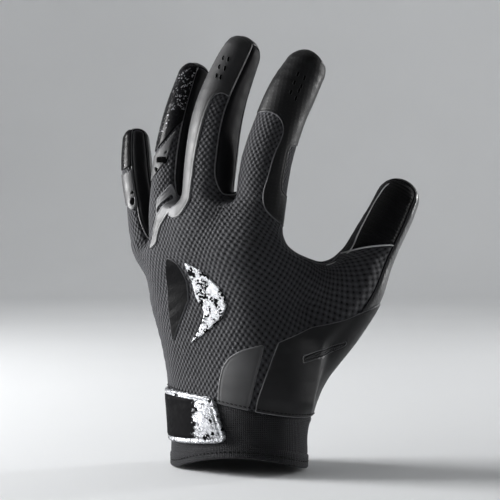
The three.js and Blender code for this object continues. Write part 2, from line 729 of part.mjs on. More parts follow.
// Films, tabs and the emblem on the back. Each is cut through to its own depth, a share of the glove height.
const DEEP = {
  index: 0.0511,
  middle: 0.1702,
  ring: 0.2553,
  little: 0.3404,
  wristSmall: 0,
  wristLarge: 0.0596,
  strap: 0.1106,
  emblem: 0.0851,
};
const backIn = (first, last, from, to) =>
  pattern.faces.filter(
    (f) =>
      f.kind === "back" && f.cell[0] >= first && f.cell[0] <= last && f.cell[1] >= from && f.cell[1] < to,
  );
const O = OUTLINES;

const indexFaces = [
  ...backIn(15, 18, 12, 26),
  ...pattern.faces.filter((f) => f.kind === "side" && f.panel === "web_gusset" && f.cell[0] === 18),
];
addNode("index_overlay", film(indexFaces, FILM_LIFT, FILM, O.index, [O.indexVent], DEEP.index), FILM_LOOK);

const middleFaces = [...backIn(10, 13, 9, 27), ...backIn(4, 9, 9, 17)];
addNode("middle_overlay", film(middleFaces, FILM_LIFT, FILM, O.middle, [O.knuckleSlot], DEEP.middle), FILM_LOOK);

addNode("ring_overlay_tip", film(backIn(5, 8, 16, 26), FILM_LIFT, FILM, O.ringTip, [], DEEP.ring), GRIP);
addNode("ring_overlay_side", film(backIn(5, 8, 14, 26), FILM_LIFT, FILM, O.ringSide, [], DEEP.ring), FILM_LOOK);
addNode("little_overlay_tip", film(backIn(0, 3, 12, 21), FILM_LIFT, FILM, O.littleTip, [], DEEP.little), GRIP);
addNode("little_overlay_side", film(backIn(0, 3, 12, 21), FILM_LIFT, FILM, O.littleSide, [], DEEP.little), FILM_LOOK);

addNode("wrist_overlay_small", film(backIn(0, 18, 4, 9), FILM_LIFT, FILM, O.wristSmall, [], DEEP.wristSmall), FILM_LOOK);
const wristFaces = [
  ...backIn(8, 23, 4, 12),
  ...pattern.faces.filter((f) => f.kind === "side" && f.panel === "palm_panel" && f.cell[0] >= 18 && f.cell[1] < 12),
];
addNode("wrist_overlay_large", film(wristFaces, FILM_LIFT, FILM, O.wristLarge, [O.wristSlot], DEEP.wristLarge), FILM_LOOK);

const strapFaces = pattern.faces.filter((f) => f.cell[1] <= CUFF_ROWS && f.cell[0] <= 13);
addNode("strap_tab", film(strapFaces, STRAP_LIFT, STRAP, O.strap, [], DEEP.strap), FOIL);

addNode("emblem_dark", film(backIn(0, 16, 5, 15), FILM_LIFT, EMBLEM, O.emblemDark, [], DEEP.emblem), GRIP);
addNode("emblem_light", film(backIn(0, 16, 5, 15), FILM_LIFT, EMBLEM, O.emblemLight, [], DEEP.emblem), FOIL);

export default part;
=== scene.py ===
import math
import bpy
import numpy as np
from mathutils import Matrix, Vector, noise
from mathutils.kdtree import KDTree


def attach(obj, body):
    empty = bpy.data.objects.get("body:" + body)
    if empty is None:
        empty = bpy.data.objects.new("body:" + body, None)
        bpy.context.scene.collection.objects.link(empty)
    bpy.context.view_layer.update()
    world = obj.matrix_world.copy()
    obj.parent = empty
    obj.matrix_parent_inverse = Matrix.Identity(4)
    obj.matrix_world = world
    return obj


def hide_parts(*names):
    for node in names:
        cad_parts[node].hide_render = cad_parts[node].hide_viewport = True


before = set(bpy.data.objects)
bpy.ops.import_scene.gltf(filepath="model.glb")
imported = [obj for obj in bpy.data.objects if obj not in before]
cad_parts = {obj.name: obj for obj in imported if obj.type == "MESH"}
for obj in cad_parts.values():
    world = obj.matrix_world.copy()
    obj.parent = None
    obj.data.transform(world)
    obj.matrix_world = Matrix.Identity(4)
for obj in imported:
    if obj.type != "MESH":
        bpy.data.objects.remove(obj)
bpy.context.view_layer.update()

H = 235.0    # hem to middle fingertip
SEAM_ANGLE = 56.0
TIP_SPREAD = 50.0
PALM_BLEND, CROTCH_BLEND, WEB_BLEND, THUMB_BLEND = 16.0, 2.3, 14.0, 16.0
CUFF_SEAM_UP, CUFF_SEAM_SLOPE = 34.7, -0.21
HEM_ARCH, HEM_HALF_WIDTH = 9.5, 37.0
RELAX_ROUNDS = 300    # of the pattern over the skin
CHUNK = 4000    # points worked on at once
LEVEL_BELOW, LEVEL_FADE = 33, (2, 40)    # low points keep their height, and their normals turn level
CLOTH_INSIDE = -1.1    # inner face of the cloth, from the skin
SPAN_FADE = (0.8, 9)    # distances from a seam of the back over which the cloth begins to span hollows
FILM_THICK, TUCK = 0.72, 0.25    # thickness of a film, and how far it sinks into the cloth
SNAP, MARGIN = 0.13, 1.2    # points this near an outline move onto it; skin kept outside it for the cut
EYE, LENS, SENSOR = (4.95, -700, 118.8), 91.64, 36    # the camera
PIXEL, CENTRE = 0.55, 250    # of its image, at the depth of the origin
SIGHT, TOUCH = (620.0, 790.0, 1.5), 0.4    # steps along a line of sight: first, last and length; how near is a hit
MM = 0.001

# Strands of the hand. Columns: across, depth, up and radius in parts of the height, then facing in degrees.
PARTS = 10000
STRANDS = {
    "little": [
        (-574, 340, -340, 1038, 30), (-574, 340, 766, 1038, 30), (-681, 404, 1617, 1004, 32),
        (-894, 511, 2426, 906, 36), (-1191, 723, 3191, 787, 42), (-1532, 1000, 3915, 640, 50),
        (-1765, 1234, 4596, 510, 58), (-2290, 1404, 5300, 411, 66), (-2455, 1660, 6167, 374, 72),
        (-2570, 1872, 6797, 374, 73), (-2619, 2085, 7309, 366, 74), (-2651, 2298, 7790, 323, 74)],
    "ring": [
        (-191, 128, -340, 1040, 30), (-191, 128, 766, 1040, 30), (-234, 149, 1617, 996, 31),
        (-340, 213, 2426, 894, 33), (-638, 340, 3191, 787, 36), (-1021, 511, 3915, 702, 40),
        (-1362, 638, 4596, 638, 44), (-1617, 723, 5277, 553, 46), (-1699, 787, 5896, 511, 48),
        (-1644, 872, 6742, 502, 49), (-1546, 1043, 7599, 481, 50), (-1386, 1234, 8419, 447, 50),
        (-1164, 1447, 9252, 383, 50)],
    "middle": [
        (191, -128, -340, 1040, 30), (191, -128, 766, 1040, 30), (191, -128, 1617, 996, 31),
        (128, -128, 2426, 894, 32), (-85, -43, 3191, 787, 34), (-383, 0, 3915, 723, 37), (-638, 0, 4596, 660, 40),
        (-787, 0, 5277, 617, 43), (-785, 43, 6110, 579, 45), (-696, 191, 7175, 596, 45), (-572, 383, 8090, 583, 43),
        (-361, 536, 8844, 536, 39), (-17, 702, 9703, 460, 33)],
    "index": [
        (420, -330, -340, 1020, 30), (440, -335, 766, 1020, 30), (505, -355, 1617, 990, 29),
        (553, -383, 2426, 894, 28), (468, -404, 3191, 787, 27), (383, -447, 3915, 723, 26),
        (298, -489, 4596, 660, 26), (319, -511, 5277, 596, 26), (418, -489, 5861, 562, 26),
        (585, -362, 7067, 570, 26), (926, -213, 8123, 536, 26), (1202, -106, 8740, 528, 26),
        (1479, 0, 9245, 468, 26)],
    "thumb": [
        (985, 85, 1887, 723, 22), (1505, 170, 2584, 732, 22), (2128, 340, 3304, 715, 22),
        (2417, 404, 3679, 668, 21), (2708, 489, 4199, 621, 20), (3123, 596, 5055, 591, 20),
        (3536, 702, 5822, 545, 20), (3744, 766, 6256, 515, 20)],
    "web": [
        (211, -383, 4778, 511, 26), (1060, -165, 4555, 468, 24), (1811, 170, 4310, 451, 22),
        (2588, 468, 4176, 511, 20)],
}

# The flat pattern. Columns: first column, columns wide, row of the tip, row of the root, seam over the tip.
FINGERS = {"little": (0, 4, 21, 13, 0.75), "ring": (5, 4, 26, 16, 0.75),
           "middle": (10, 4, 27, 16, 0.75), "index": (15, 4, 26, 16, 0.42)}
GAPS = [(4, 13, "fourchette_ring_little"), (9, 16, "fourchette_middle_ring"), (14, 16, "fourchette_index_middle")]
CUFF_ROWS = 4
CUFF_SHARES = [0, 0.13, 0.42, 0.71, 1]
EDGE = 19
ROW_UP = [0, 0, 0, 0, 0.1477, 0.1957, 0.2383, 0.2809, 0.3234, 0.3660, 0.4085, 0.4468, 0.4809, 0.5277, 0.5617,
          0.5957, 0.6298]
LOW, HIGH, THUMB_SEAM, THUMB_OVER = 6, 11, 4, 0.75
# Columns: distance from the tip centre, slant
THUMB_COLUMNS = [(0.2979, 0.0170), (0.2638, 0.0383), (0.2255, 0.0638), (0.1872, 0.0809), (0.1447, 0.0894),
                 (0.1064, 0.0638), (0.0702, 0.0383), (0.0340, 0.0128), (0, 0)]
TIP = len(THUMB_COLUMNS)
# The seam line round the web. Columns: column, row, back seam, middle of the gusset.
WEB_LINE = {
    (19, 13): (0.0979, -0.0617, 0.5216, 0.0990, -0.0274, 0.5244),
    (19, 12): (0.1240, -0.0213, 0.4990, 0.1211, 0.0075, 0.4925),
    (19, 11): (0.1547, -0.0213, 0.4811, 0.1546, 0.0127, 0.4829),
    (20, 11): (0.1775, -0.0132, 0.4718, 0.1777, 0.0215, 0.4775),
    (21, 11): (0.1977, -0.0047, 0.4698, 0.1962, 0.0297, 0.4785),
    (22, 11): (0.2142, 0.0015, 0.4737, 0.2109, 0.0353, 0.4831)}

# Outlines on the back as seen from the front. Columns: across and up in parts of the height.
OUTLINES = {
    "index": [
        (325, 8195), (508, 8207), (622, 8207), (759, 8161), (873, 8070), (941, 7933), (964, 7773), (896, 7544),
        (782, 7316), (690, 7042), (599, 6700), (508, 6425), (485, 6243), (508, 6037), (599, 5889), (759, 5740),
        (941, 5603), (1101, 5375), (1444, 5284), (2380, 8024), (2380, 9851), (896, 9965), (96, 8367)],
    "indexVent": [
        (1131, 7413), (1361, 7494), (1292, 6551), (1039, 6297), (935, 6436), (954, 6666), (1016, 6988), (1073, 7264)],
    "middle": [
        (-114, 8605), (-277, 8617), (-416, 8710), (-555, 8698), (-659, 8605), (-741, 8420), (-834, 8165),
        (-903, 7909), (-973, 7608), (-1019, 7352), (-1066, 7074), (-1089, 6842), (-1124, 6610), (-1151, 6378),
        (-1170, 6216), (-1205, 6099), (-1286, 5914), (-1402, 5717), (-1513, 5844), (-1646, 5717), (-1785, 5566),
        (-1866, 5334), (-1885, 5195), (-2045, 5044), (-2049, 5218), (-2033, 5403), (-2005, 5566), (-1971, 5682),
        (-1936, 5821), (-1924, 5921), (-1947, 6099), (-1982, 6285), (-1808, 6471), (-1646, 6656), (-1541, 6448),
        (-1483, 6308), (-1414, 6540), (-1379, 6796), (-1344, 7260), (-1286, 7677), (-1263, 7840), (-1182, 8165),
        (-1066, 8536), (-973, 8814), (-834, 9116), (-671, 9418), (-485, 9789), (-207, 10160), (489, 10253),
        (721, 9464), (257, 8536)],
    "knuckleSlot": [
        (-1905, 6007), (-1646, 6360), (-1599, 6278), (-1881, 5913)],
    "ringTip": [
        (-2324, 7300), (-2046, 7421), (-1962, 7530), (-1793, 7699), (-1672, 7868), (-1552, 8000), (-1383, 8169),
        (-876, 8676), (-634, 9883), (-2203, 10004)],
    "ringSide": [
        (-1523, 7944), (-1667, 7800), (-1787, 7631), (-1908, 7487), (-2028, 7354), (-2245, 7222), (-2293, 6740),
        (-2161, 6692), (-2100, 6757), (-2004, 6897), (-1884, 7046), (-1787, 7174), (-1739, 7270), (-1691, 7439),
        (-1643, 7655), (-1571, 7800)],
    "littleTip": [
        (-3213, 7015), (-2915, 7028), (-2791, 7077), (-2692, 7152), (-2444, 7263), (-2394, 8479), (-3263, 8479)],
    "littleSide": [
        (-3204, 6911), (-2907, 6936), (-2783, 6985), (-2672, 7072), (-2437, 7134), (-2412, 6391), (-2536, 6144),
        (-2659, 5971), (-2746, 6082), (-2833, 6169), (-3253, 6193)],
    "wristSmall": [
        (-495, 1400), (-515, 1790), (-490, 2072), (-420, 2386), (-335, 2543), (-227, 2666), (9, 2801), (278, 2879),
        (547, 2935), (390, 2318), (156, 1400)],
    "wristLarge": [
        (825, 2985), (1493, 3194), (2213, 3413), (2483, 3480), (3001, 3683), (3586, 3908), (3586, 2918),
        (2348, 1680), (2011, 900), (301, 1300), (357, 1680)],
    "wristSlot": [
        (1336, 2611), (1916, 2775), (2439, 2930), (2427, 2850), (1916, 2657), (1347, 2498)],
    "strap": [
        (-2762, 1831), (-1573, 1808), (-979, 1762), (-681, 1735), (-601, 1694), (-544, 1602), (-430, 1236),
        (-315, 882), (-338, 790), (-430, 726), (-933, 664), (-1665, 600), (-2762, 539)],
    "emblemDark": [
        (-1624, 4895), (-1372, 4734), (-1223, 4344), (-1188, 3909), (-1395, 3404), (-1578, 2876), (-1693, 3679),
        (-1716, 4413)],
    "emblemLight": [
        (-1263, 4782), (-815, 4554), (-428, 4212), (-291, 3824), (-428, 3505), (-770, 3186), (-1180, 2866),
        (-907, 3322), (-815, 3642), (-1013, 3915), (-1128, 4348)],
}
OUTLINES = {name: [(x / PARTS, z / PARTS) for x, z in rows] for name, rows in OUTLINES.items()}


# ---- The skin of the hand ----

def mix(a, b, t):
    return a + (b - a) * t


def ramp(value, low, high):
    t = np.clip((value - low) / (high - low), 0, 1)
    return t * t * (3 - 2 * t)


def smooth_line(rows, steps=3):
    pts = np.array(rows, float)
    pts[:, :4] = pts[:, :4] / PARTS * H
    a = np.vstack([2 * pts[0] - pts[1], pts, 2 * pts[-1] - pts[-2]])
    out = []
    for k in range(1, len(a) - 2):
        p, q, r, s = a[k - 1:k + 3]
        for n in range(steps):
            t = n / steps
            cubic = (3 * q - p - 3 * r + s) * t ** 3
            out.append(0.5 * (2 * q + (r - p) * t + (2 * p - 5 * q + 4 * r - s) * t * t + cubic))
    return np.array(out + [pts[-1]])


LINES = {name: smooth_line(rows) for name, rows in STRANDS.items()}
ALONG = {name: np.r_[0, np.cumsum(np.linalg.norm(np.diff(l[:, :3], axis=0), axis=1))] for name, l in LINES.items()}
SEGMENTS = {}
for name, line in LINES.items():
    a, u = line[:-1, :3], np.diff(line[:, :3], axis=0)
    SEGMENTS[name] = [v[:, None] for v in (*a.T, *u.T, (u * u).sum(1), line[:-1, 3], np.diff(line[:, 3]))]


def strand(name, x, y, z):
    ax, ay, az, ux, uy, uz, uu, radius, flare = SEGMENTS[name]
    dx, dy, dz = x - ax, y - ay, z - az
    raw = (dx * ux + dy * uy + dz * uz) / uu
    t = np.clip(raw, 0, 1)
    dx -= ux * t
    dy -= uy * t
    dz -= uz * t
    d = np.sqrt(dx * dx + dy * dy + dz * dz)
    f = d - radius - flare * t
    k = f.argmin(0)
    at = (k, np.arange(len(k)))
    tilt = np.where(raw[at] == t[at], (flare / uu)[k, 0], 0)
    grad = [dx[at] / d[at] - tilt * ux[k, 0], dy[at] / d[at] - tilt * uy[k, 0], dz[at] / d[at] - tilt * uz[k, 0]]
    return f[at], np.array(grad)


def blend(one, two, width):
    (f, g), (f2, g2) = one, two
    h = np.maximum(width - np.abs(f - f2), 0) / width
    share = np.where(f < f2, h / 2, 1 - h / 2)
    return np.minimum(f, f2) - h * h * width * 0.25, g * (1 - share) + g2 * share


def skin(points, span=False):
    """Distance from the skin, negative inside, and its gradient; span fills the hollows between the knuckles."""
    value = np.empty(len(points))
    grad = np.empty((len(points), 3))
    for start in range(0, len(points), CHUNK):
        part = slice(start, start + CHUNK)
        x, y, z = points[part].T
        low = mix(PALM_BLEND, CROTCH_BLEND, ramp(z / H, 0.4255, 0.5532))
        high = mix(PALM_BLEND, CROTCH_BLEND, ramp(z / H, 0.4766, 0.6426))
        if span:
            low = mix(PALM_BLEND + 10 * ramp(z / H, 0.40, 0.48), CROTCH_BLEND, ramp(z / H, 0.50, 0.57))
            high = mix(PALM_BLEND + 12 * ramp(z / H, 0.42, 0.52), CROTCH_BLEND, ramp(z / H, 0.60, 0.67))
        f = strand("little", x, y, z)
        f = blend(f, strand("ring", x, y, z), low)
        f = blend(f, strand("middle", x, y, z), high)
        f = blend(f, strand("index", x, y, z), high)
        f = blend(f, strand("web", x, y, z), WEB_BLEND + 8 * span)
        f = blend(f, strand("thumb", x, y, z), THUMB_BLEND + 12 * span)
        value[part], grad[part] = f[0], f[1].T
    return value, grad


def settle(points, level, times):
    """Moves points onto the skin in place; level ones keep their height. Returns the last gradient."""
    for _ in range(times):
        f, g = skin(points)
        g[level, 2] = 0
        size = np.sqrt(np.maximum((g * g).sum(1), 0.05))
        step = np.where(np.abs(f) < 0.003, 0, np.clip(f / size, -4, 4))
        points -= g * (step / size)[:, None]
    return g


# ---- The flat pattern laid over it ----

def unit(v):
    return v / np.linalg.norm(v)


def place_by(name, key, value):
    line = LINES[name]
    read = line[:, 2] if key == "up" else ALONG[name]
    k = 1
    while k < len(line) - 1 and read[k] < value:
        k += 1
    t = (value - read[k - 1]) / (read[k] - read[k - 1])
    tangent = unit(line[k, :3] - line[k - 1, :3])
    facing = math.radians(mix(line[k - 1, 4], line[k, 4], t))
    back = np.array([-math.sin(facing), -math.cos(facing), 0])
    back = unit(back - back.dot(tangent) * tangent)
    row = mix(line[k - 1], line[k], t)
    return {"at": row[:3], "radius": row[3], "along": mix(ALONG[name][k - 1], ALONG[name][k], t),
            "tangent": tangent, "back": back, "side": np.cross(tangent, back)}


def on_section(place, across, layer):
    turn = math.copysign(90, across) if layer == 1 else across * SEAM_ANGLE
    if layer == 2:
        turn = 180 - turn
    turn = math.radians(turn)
    return place["at"] + place["radius"] * (place["back"] * math.cos(turn) + place["side"] * math.sin(turn))


def on_tip(place, across, lift, over):
    spread = math.tan(math.radians(TIP_SPREAD * across))
    toward = unit(place["tangent"] + place["side"] * spread + place["back"] * lift * over)
    return place["at"] + toward * place["radius"]


def has_cell(i, j):
    if i < 0 or j < 0:
        return False
    if i >= EDGE:
        return i < EDGE + TIP and LOW <= j < HIGH
    for column, row, _ in GAPS:
        if column == i:
            return j < row
    return j < next(f[2] for f in FINGERS.values() if f[0] <= i < f[0] + f[1])


def finger_of(i):
    return next(n for n, f in FINGERS.items() if i <= f[0] + f[1])


def first_position(i, j, layer):
    if (i, j) in WEB_LINE and layer < 2:
        row = WEB_LINE[i, j]
        return np.array(row[:3] if layer == 0 else row[3:]) * H
    if i > EDGE:
        column = i - EDGE
        across = 1 - 2 * (j - LOW) / (HIGH - LOW)
        end = ALONG["thumb"][-1]
        if column == TIP:
            return on_tip(place_by("thumb", "along", end), across, 1 - layer, THUMB_OVER)
        back, slant = THUMB_COLUMNS[column]
        return on_section(place_by("thumb", "along", end - back * H + slant * H * across / 2), across, layer)
    name = finger_of(i)
    first, wide, tip, root, over = FINGERS[name]
    across = 2 * (i - first) / wide - 1
    if j <= root:
        return on_section(place_by(name, "up", H * (0.0638 if j < CUFF_ROWS else ROW_UP[j])), across, layer)
    end = ALONG[name][-1]
    if j == tip:
        return on_tip(place_by(name, "along", end), across, 1 - layer, over)
    start = place_by(name, "up", H * ROW_UP[root])["along"]
    return on_section(place_by(name, "along", mix(start, end, (j - root) / (tip - 1 - root))), across, layer)


def rule_of(i, j, layer):
    if (i, j) in WEB_LINE and layer < 2:
        return 0
    if i > EDGE:
        return 0 if i > EDGE + THUMB_SEAM - 1 else 1
    if j <= CUFF_ROWS:
        return 2
    return 0 if j > FINGERS[finger_of(i)][3] else 1


def side_panel(i, j, side):
    for column, row, name in GAPS:
        if (side == 2 and i == column) or (side == 1 and i == column - 1) or (side == 3 and i == column + 1):
            return name
    if (side == 1 and i == EDGE - 1 and j >= HIGH) or (side == 2 and i >= EDGE):
        return "web_gusset"
    return "palm_panel"


PANELS = ["back_panel", "palm_panel", "fourchette_index_middle", "fourchette_middle_ring",
          "fourchette_ring_little", "web_gusset", "thumb_panel", "cuff"]
BACK, PALM, SIDE = 0, 1, 2


def lattice(i, j):
    """Knit coordinates of a back point, in periods of the mesh."""
    over = max(0, i - EDGE)
    u = 2.3 * min(i, EDGE) + 3.2 * over
    v = 8.5 * 2.35 + (j - 8.5) * mix(2.35, 1.4, min(1, over / 3))
    return u, v


def build_pattern():
    index, spots, rules, faces = {}, [], [], []

    def point(i, j, layer):
        if (i, j, layer) not in index:
            index[i, j, layer] = len(spots)
            spots.append(first_position(i, j, layer))
            rules.append((rule_of(i, j, layer), min(j, CUFF_ROWS)))
        return index[i, j, layer]

    for i in range(EDGE + TIP):
        for j in range(27):
            if not has_cell(i, j):
                continue
            ring = [(i, j), (i + 1, j), (i + 1, j + 1), (i, j + 1)]
            cuff = j < CUFF_ROWS
            back = "thumb_panel" if i >= EDGE + THUMB_SEAM else "back_panel"
            flat = [lattice(*c) for c in ring]
            faces.append(([point(*c, 0) for c in ring], "cuff" if cuff else back, BACK, (i, j), flat))
            faces.append(([point(*c, 2) for c in ring[::-1]], "cuff" if cuff else "palm_panel", PALM, (i, j),
                          flat[::-1]))
            for side, (a, b) in enumerate([(i, j - 1), (i + 1, j), (i, j + 1), (i - 1, j)]):
                if has_cell(a, b) or (side == 0 and j == 0):
                    continue
                panel = "cuff" if cuff else side_panel(i, j, side)
                p, q = ring[side], ring[(side + 1) % 4]
                run = [(30 - c[0] if i >= EDGE else c[0]) if side in (0, 2) else c[1] for c in (p, q)]
                for top in (0, 1):
                    corners = [point(*q, top), point(*p, top), point(*p, top + 1), point(*q, top + 1)]
                    flat = [(4 * top, 2.5 * run[1]), (4 * top, 2.5 * run[0]),
                            (4 * top + 4, 2.5 * run[0]), (4 * top + 4, 2.5 * run[1])]
                    faces.append((corners, panel, SIDE, (i, j), flat))
    return np.array(spots), np.array(rules), faces


def cuff_up(share, p):
    rise = np.maximum(0, 1 - (p[:, 0] / HEM_HALF_WIDTH) ** 2)
    hem = HEM_ARCH * rise * ramp(-p[:, 1] / H, -0.0426, 0.0638)
    return mix(hem, CUFF_SEAM_UP + CUFF_SEAM_SLOPE * p[:, 0], share)


spots, rules, cage_faces = build_pattern()
near = np.zeros((len(spots), len(spots)))
for corners, *_ in cage_faces:
    for a, b in zip(corners, corners[1:] + corners[:1]):
        near[a, b] = near[b, a] = 1
near /= near.sum(1)[:, None]
moving = rules[:, 0] > 0
cuffed = rules[:, 0] == 2
shares = np.array(CUFF_SHARES)[rules[:, 1]]


def lay(points, times):
    points[cuffed, 2] = cuff_up(shares[cuffed], points[cuffed])
    part = points[moving]
    settle(part, cuffed[moving], times)
    points[moving] = part


part = spots[moving]
settle(part, cuffed[moving], 12)
spots[moving] = part
for _ in range(RELAX_ROUNDS):
    spots[moving] = (0.5 * spots + 0.5 * near @ spots)[moving]
    lay(spots, 2)
lay(spots, 8)


def read(items, key, width=1, kind=float):
    out = np.empty(len(items) * width, kind)
    items.foreach_get(key, out)
    return out


def refined(level):
    """The pattern over the skin, subdivided: points, quads, tags, knit coordinates and cells."""
    me = bpy.data.meshes.new("pattern")
    me.from_pydata(spots.tolist(), [], [f[0] for f in cage_faces])
    me.polygons.foreach_set("material_index", [PANELS.index(f[1]) * 3 + f[2] for f in cage_faces])
    flat = me.uv_layers.new(name="flat")
    flat.data.foreach_set("uv", [v for f in cage_faces for c in f[4] for v in c])
    cell = me.uv_layers.new(name="cell")
    cell.data.foreach_set("uv", [v for f in cage_faces for _ in range(4) for v in f[3]])
    ob = bpy.data.objects.new("pattern", me)
    bpy.context.collection.objects.link(ob)
    m = ob.modifiers.new("fine", "SUBSURF")
    m.levels = m.render_levels = level
    m.uv_smooth = "NONE"
    fine = ob.evaluated_get(bpy.context.evaluated_depsgraph_get()).to_mesh()
    points = read(fine.vertices, "co", 3).reshape(-1, 3)
    quads = read(fine.loops, "vertex_index", 1, int).reshape(-1, 4)
    tags = read(fine.polygons, "material_index", 1, int)
    uv, cells = [read(fine.uv_layers[key].data, "uv", 2).reshape(-1, 4, 2) for key in ("flat", "cell")]
    ob.evaluated_get(bpy.context.evaluated_depsgraph_get()).to_mesh_clear()
    bpy.data.objects.remove(ob)
    bpy.data.meshes.remove(me)
    return points, quads, tags, uv, np.rint(cells[:, 0]).astype(int)


def compact(points, quads):
    used, where = np.unique(quads, return_inverse=True)
    return points[used], where.reshape(quads.shape), used


def on_skin(points):
    level = points[:, 2] < LEVEL_BELOW
    settle(points, level, 3)
    _, g = skin(points)
    g[:, 2] *= ramp(points[:, 2], *LEVEL_FADE)
    return g / np.linalg.norm(g, axis=1)[:, None]


# ---- Meshes ----

def new_mesh(name, verts, faces, material, slot, nodes=(), uv=None, sharp=55):
    me = bpy.data.meshes.new(name)
    me.from_pydata((np.asarray(verts) * MM).tolist(), [], [list(map(int, f)) for f in faces])
    if uv is not None:
        layer = me.uv_layers.new(name="flat")
        layer.data.foreach_set("uv", np.asarray(uv, float).ravel())
    me.polygons.foreach_set("use_smooth", [True] * len(me.polygons))
    me.validate()
    me.set_sharp_from_angle(angle=math.radians(sharp))
    me.materials.append(material)
    ob = bpy.data.objects.new(name, me)
    bpy.context.collection.objects.link(ob)
    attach(ob, "root")
    if nodes:
        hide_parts(*nodes)
    return ob


def border(quads):
    """Directed edges that only one face has."""
    ends = np.stack([quads, np.roll(quads, -1, axis=1)], axis=-1).reshape(-1, 2)
    have = set(map(tuple, ends.tolist()))
    return [(a, b) for a, b in ends.tolist() if (b, a) not in have]


def tree_of(points):
    tree = KDTree(len(points))
    for k, p in enumerate(points):
        tree.insert(p, k)
    tree.balance()
    return tree


def nearest(points, tree):
    return np.array([tree.find(p)[2] for p in points])


def wave(points, size, seed):
    """Smooth noise from -1 to 1 with features of a size in millimetres."""
    shift = Vector((seed * 17.3, seed * 5.1, seed * 9.7))
    return np.array([noise.noise(Vector(p) / size + shift) for p in points])


# ---- Materials ----

def shade(colour, share):
    return tuple(share * c for c in colour)


class Look:
    """A node material, with short calls for its nodes."""

    def __init__(self, name, **sockets):
        self.material = bpy.data.materials.new(name)
        self.material.use_nodes = True
        self.tree = self.material.node_tree
        self.shader = self.tree.nodes["Principled BSDF"]
        for key, value in sockets.items():
            self.set(key.replace("_", " "), value)

    def plug(self, socket, value):
        if isinstance(value, bpy.types.NodeSocket):
            self.tree.links.new(value, socket)
        else:
            socket.default_value = (*value, 1) if socket.type == "RGBA" else value

    def set(self, key, value):
        self.plug(self.shader.inputs[key], value)

    def add(self, kind, inputs=(), **settings):
        node = self.tree.nodes.new("ShaderNode" + kind)
        for key, value in settings.items():
            setattr(node, key, value)
        for key, value in dict(inputs).items():
            self.plug(node.inputs[key], value)
        return node

    def math(self, operation, *values):
        return self.add("Math", {k: v for k, v in enumerate(values)}, operation=operation).outputs[0]

    def wave(self, value, rate):
        return self.math("COSINE", self.math("MULTIPLY", value, rate))

    def where(self, kind="Object"):
        return self.add("TexCoord").outputs[kind]

    def flat(self):
        return self.add("UVMap", uv_map="flat").outputs[0]

    def split(self, vector):
        return self.add("SeparateXYZ", {0: vector}).outputs

    def stretch(self, vector, scale, turn=(0, 0, 0)):
        return self.add("Mapping", {"Vector": vector, "Scale": scale, "Rotation": turn}).outputs[0]

    def noise(self, vector, scale, detail=2.0, rough=0.5):
        inputs = {"Vector": vector, "Scale": scale, "Detail": detail, "Roughness": rough}
        return self.add("TexNoise", inputs).outputs[0]

    def cells(self, vector, scale, feature="F1", output="Distance"):
        return self.add("TexVoronoi", {"Vector": vector, "Scale": scale}, feature=feature).outputs[output]

    def range(self, value, low, high, to_low=0.0, to_high=1.0, smooth=True):
        inputs = {0: value, 1: low, 2: high, 3: to_low, 4: to_high}
        kind = "SMOOTHSTEP" if smooth else "LINEAR"
        return self.add("MapRange", inputs, interpolation_type=kind).outputs[0]

    def mix(self, share, one, two):
        return self.add("Mix", {0: share, 6: one, 7: two}, data_type="RGBA").outputs[2]

    def slow(self, spot, scale, low=0.0, high=1.0):
        return self.range(self.noise(spot, scale), 0.3, 0.7, low, high)

    def mottled(self, spot, scale, colour, share):
        return self.mix(self.slow(spot, scale), colour, shade(colour, share))

    def bump(self, height, distance, strength=1.0, after=None):
        inputs = {"Height": height, "Distance": distance, "Strength": strength}
        if after is not None:
            inputs["Normal"] = after
        return self.add("Bump", inputs).outputs[0]


def knit_look(name, face, hole, open_to=-0.4, deep=0.0007):
    """A stretch mesh: offset rows of domed faces with dark holes between."""
    k = Look(name, Sheen_Weight=0.08, Sheen_Roughness=0.4, Sheen_Tint=(0.75, 0.77, 0.85),
             Specular_IOR_Level=0.25)
    spot = k.where()
    u, v, _ = k.split(k.flat())
    u = k.math("MULTIPLY_ADD", k.noise(spot, 90.0), 0.3, u)
    yarn = k.noise(spot, 2600.0, 3.0)
    crossed = k.math("MULTIPLY", k.wave(u, 2 * math.pi), k.wave(v, 2 * math.pi))
    cell = k.math("MULTIPLY_ADD", k.math("SUBTRACT", yarn, 0.5), 0.7, crossed)
    top = k.mottled(spot, 55.0, face, 0.8)
    dome = k.mix(k.range(cell, 0.95, 0.15), top, shade(face, 0.6))
    k.set("Base Color", k.mix(k.range(cell, open_to, -0.9), dome, hole))
    k.set("Roughness", k.range(cell, -1.0, 1.0, 0.95, 0.62))
    k.set("Normal", k.bump(k.math("MULTIPLY_ADD", yarn, 0.12, k.range(cell, -1.0, 1.0, smooth=False)), deep))
    return k.material


def fine_look(name, colour, count=(1.0, 1.0), deep=0.0003, rough=0.8, sheen=0.1, gloss=0.2):
    """A fine rib knit, its wales set by the knit coordinates."""
    k = Look(name, Sheen_Weight=sheen, Sheen_Roughness=0.4, Sheen_Tint=(0.75, 0.77, 0.85),
             Specular_IOR_Level=gloss)
    spot = k.where()
    u, v, _ = k.split(k.flat())
    wale, course = k.wave(u, 2 * math.pi * count[0]), k.wave(v, 2 * math.pi * count[1])
    yarn = k.noise(spot, 3000.0, 3.0)
    height = k.math("MULTIPLY_ADD", wale, 0.35, k.math("MULTIPLY_ADD", course, 0.3, yarn))
    top = k.mottled(spot, 60.0, colour, 0.8)
    k.set("Base Color", k.mix(k.range(height, 0.9, -0.1), top, shade(colour, 0.45)))
    k.set("Roughness", k.range(yarn, 0.3, 0.7, rough - 0.08, rough + 0.08))
    k.set("Normal", k.bump(height, deep))
    return k.material


def edged(k, base, edge):
    """A light line along the edge of a film, where the flat coordinate is the distance to it."""
    if edge is None:
        return base
    return k.mix(k.range(k.split(k.flat())[0], 0.62, 0.30), base, edge)


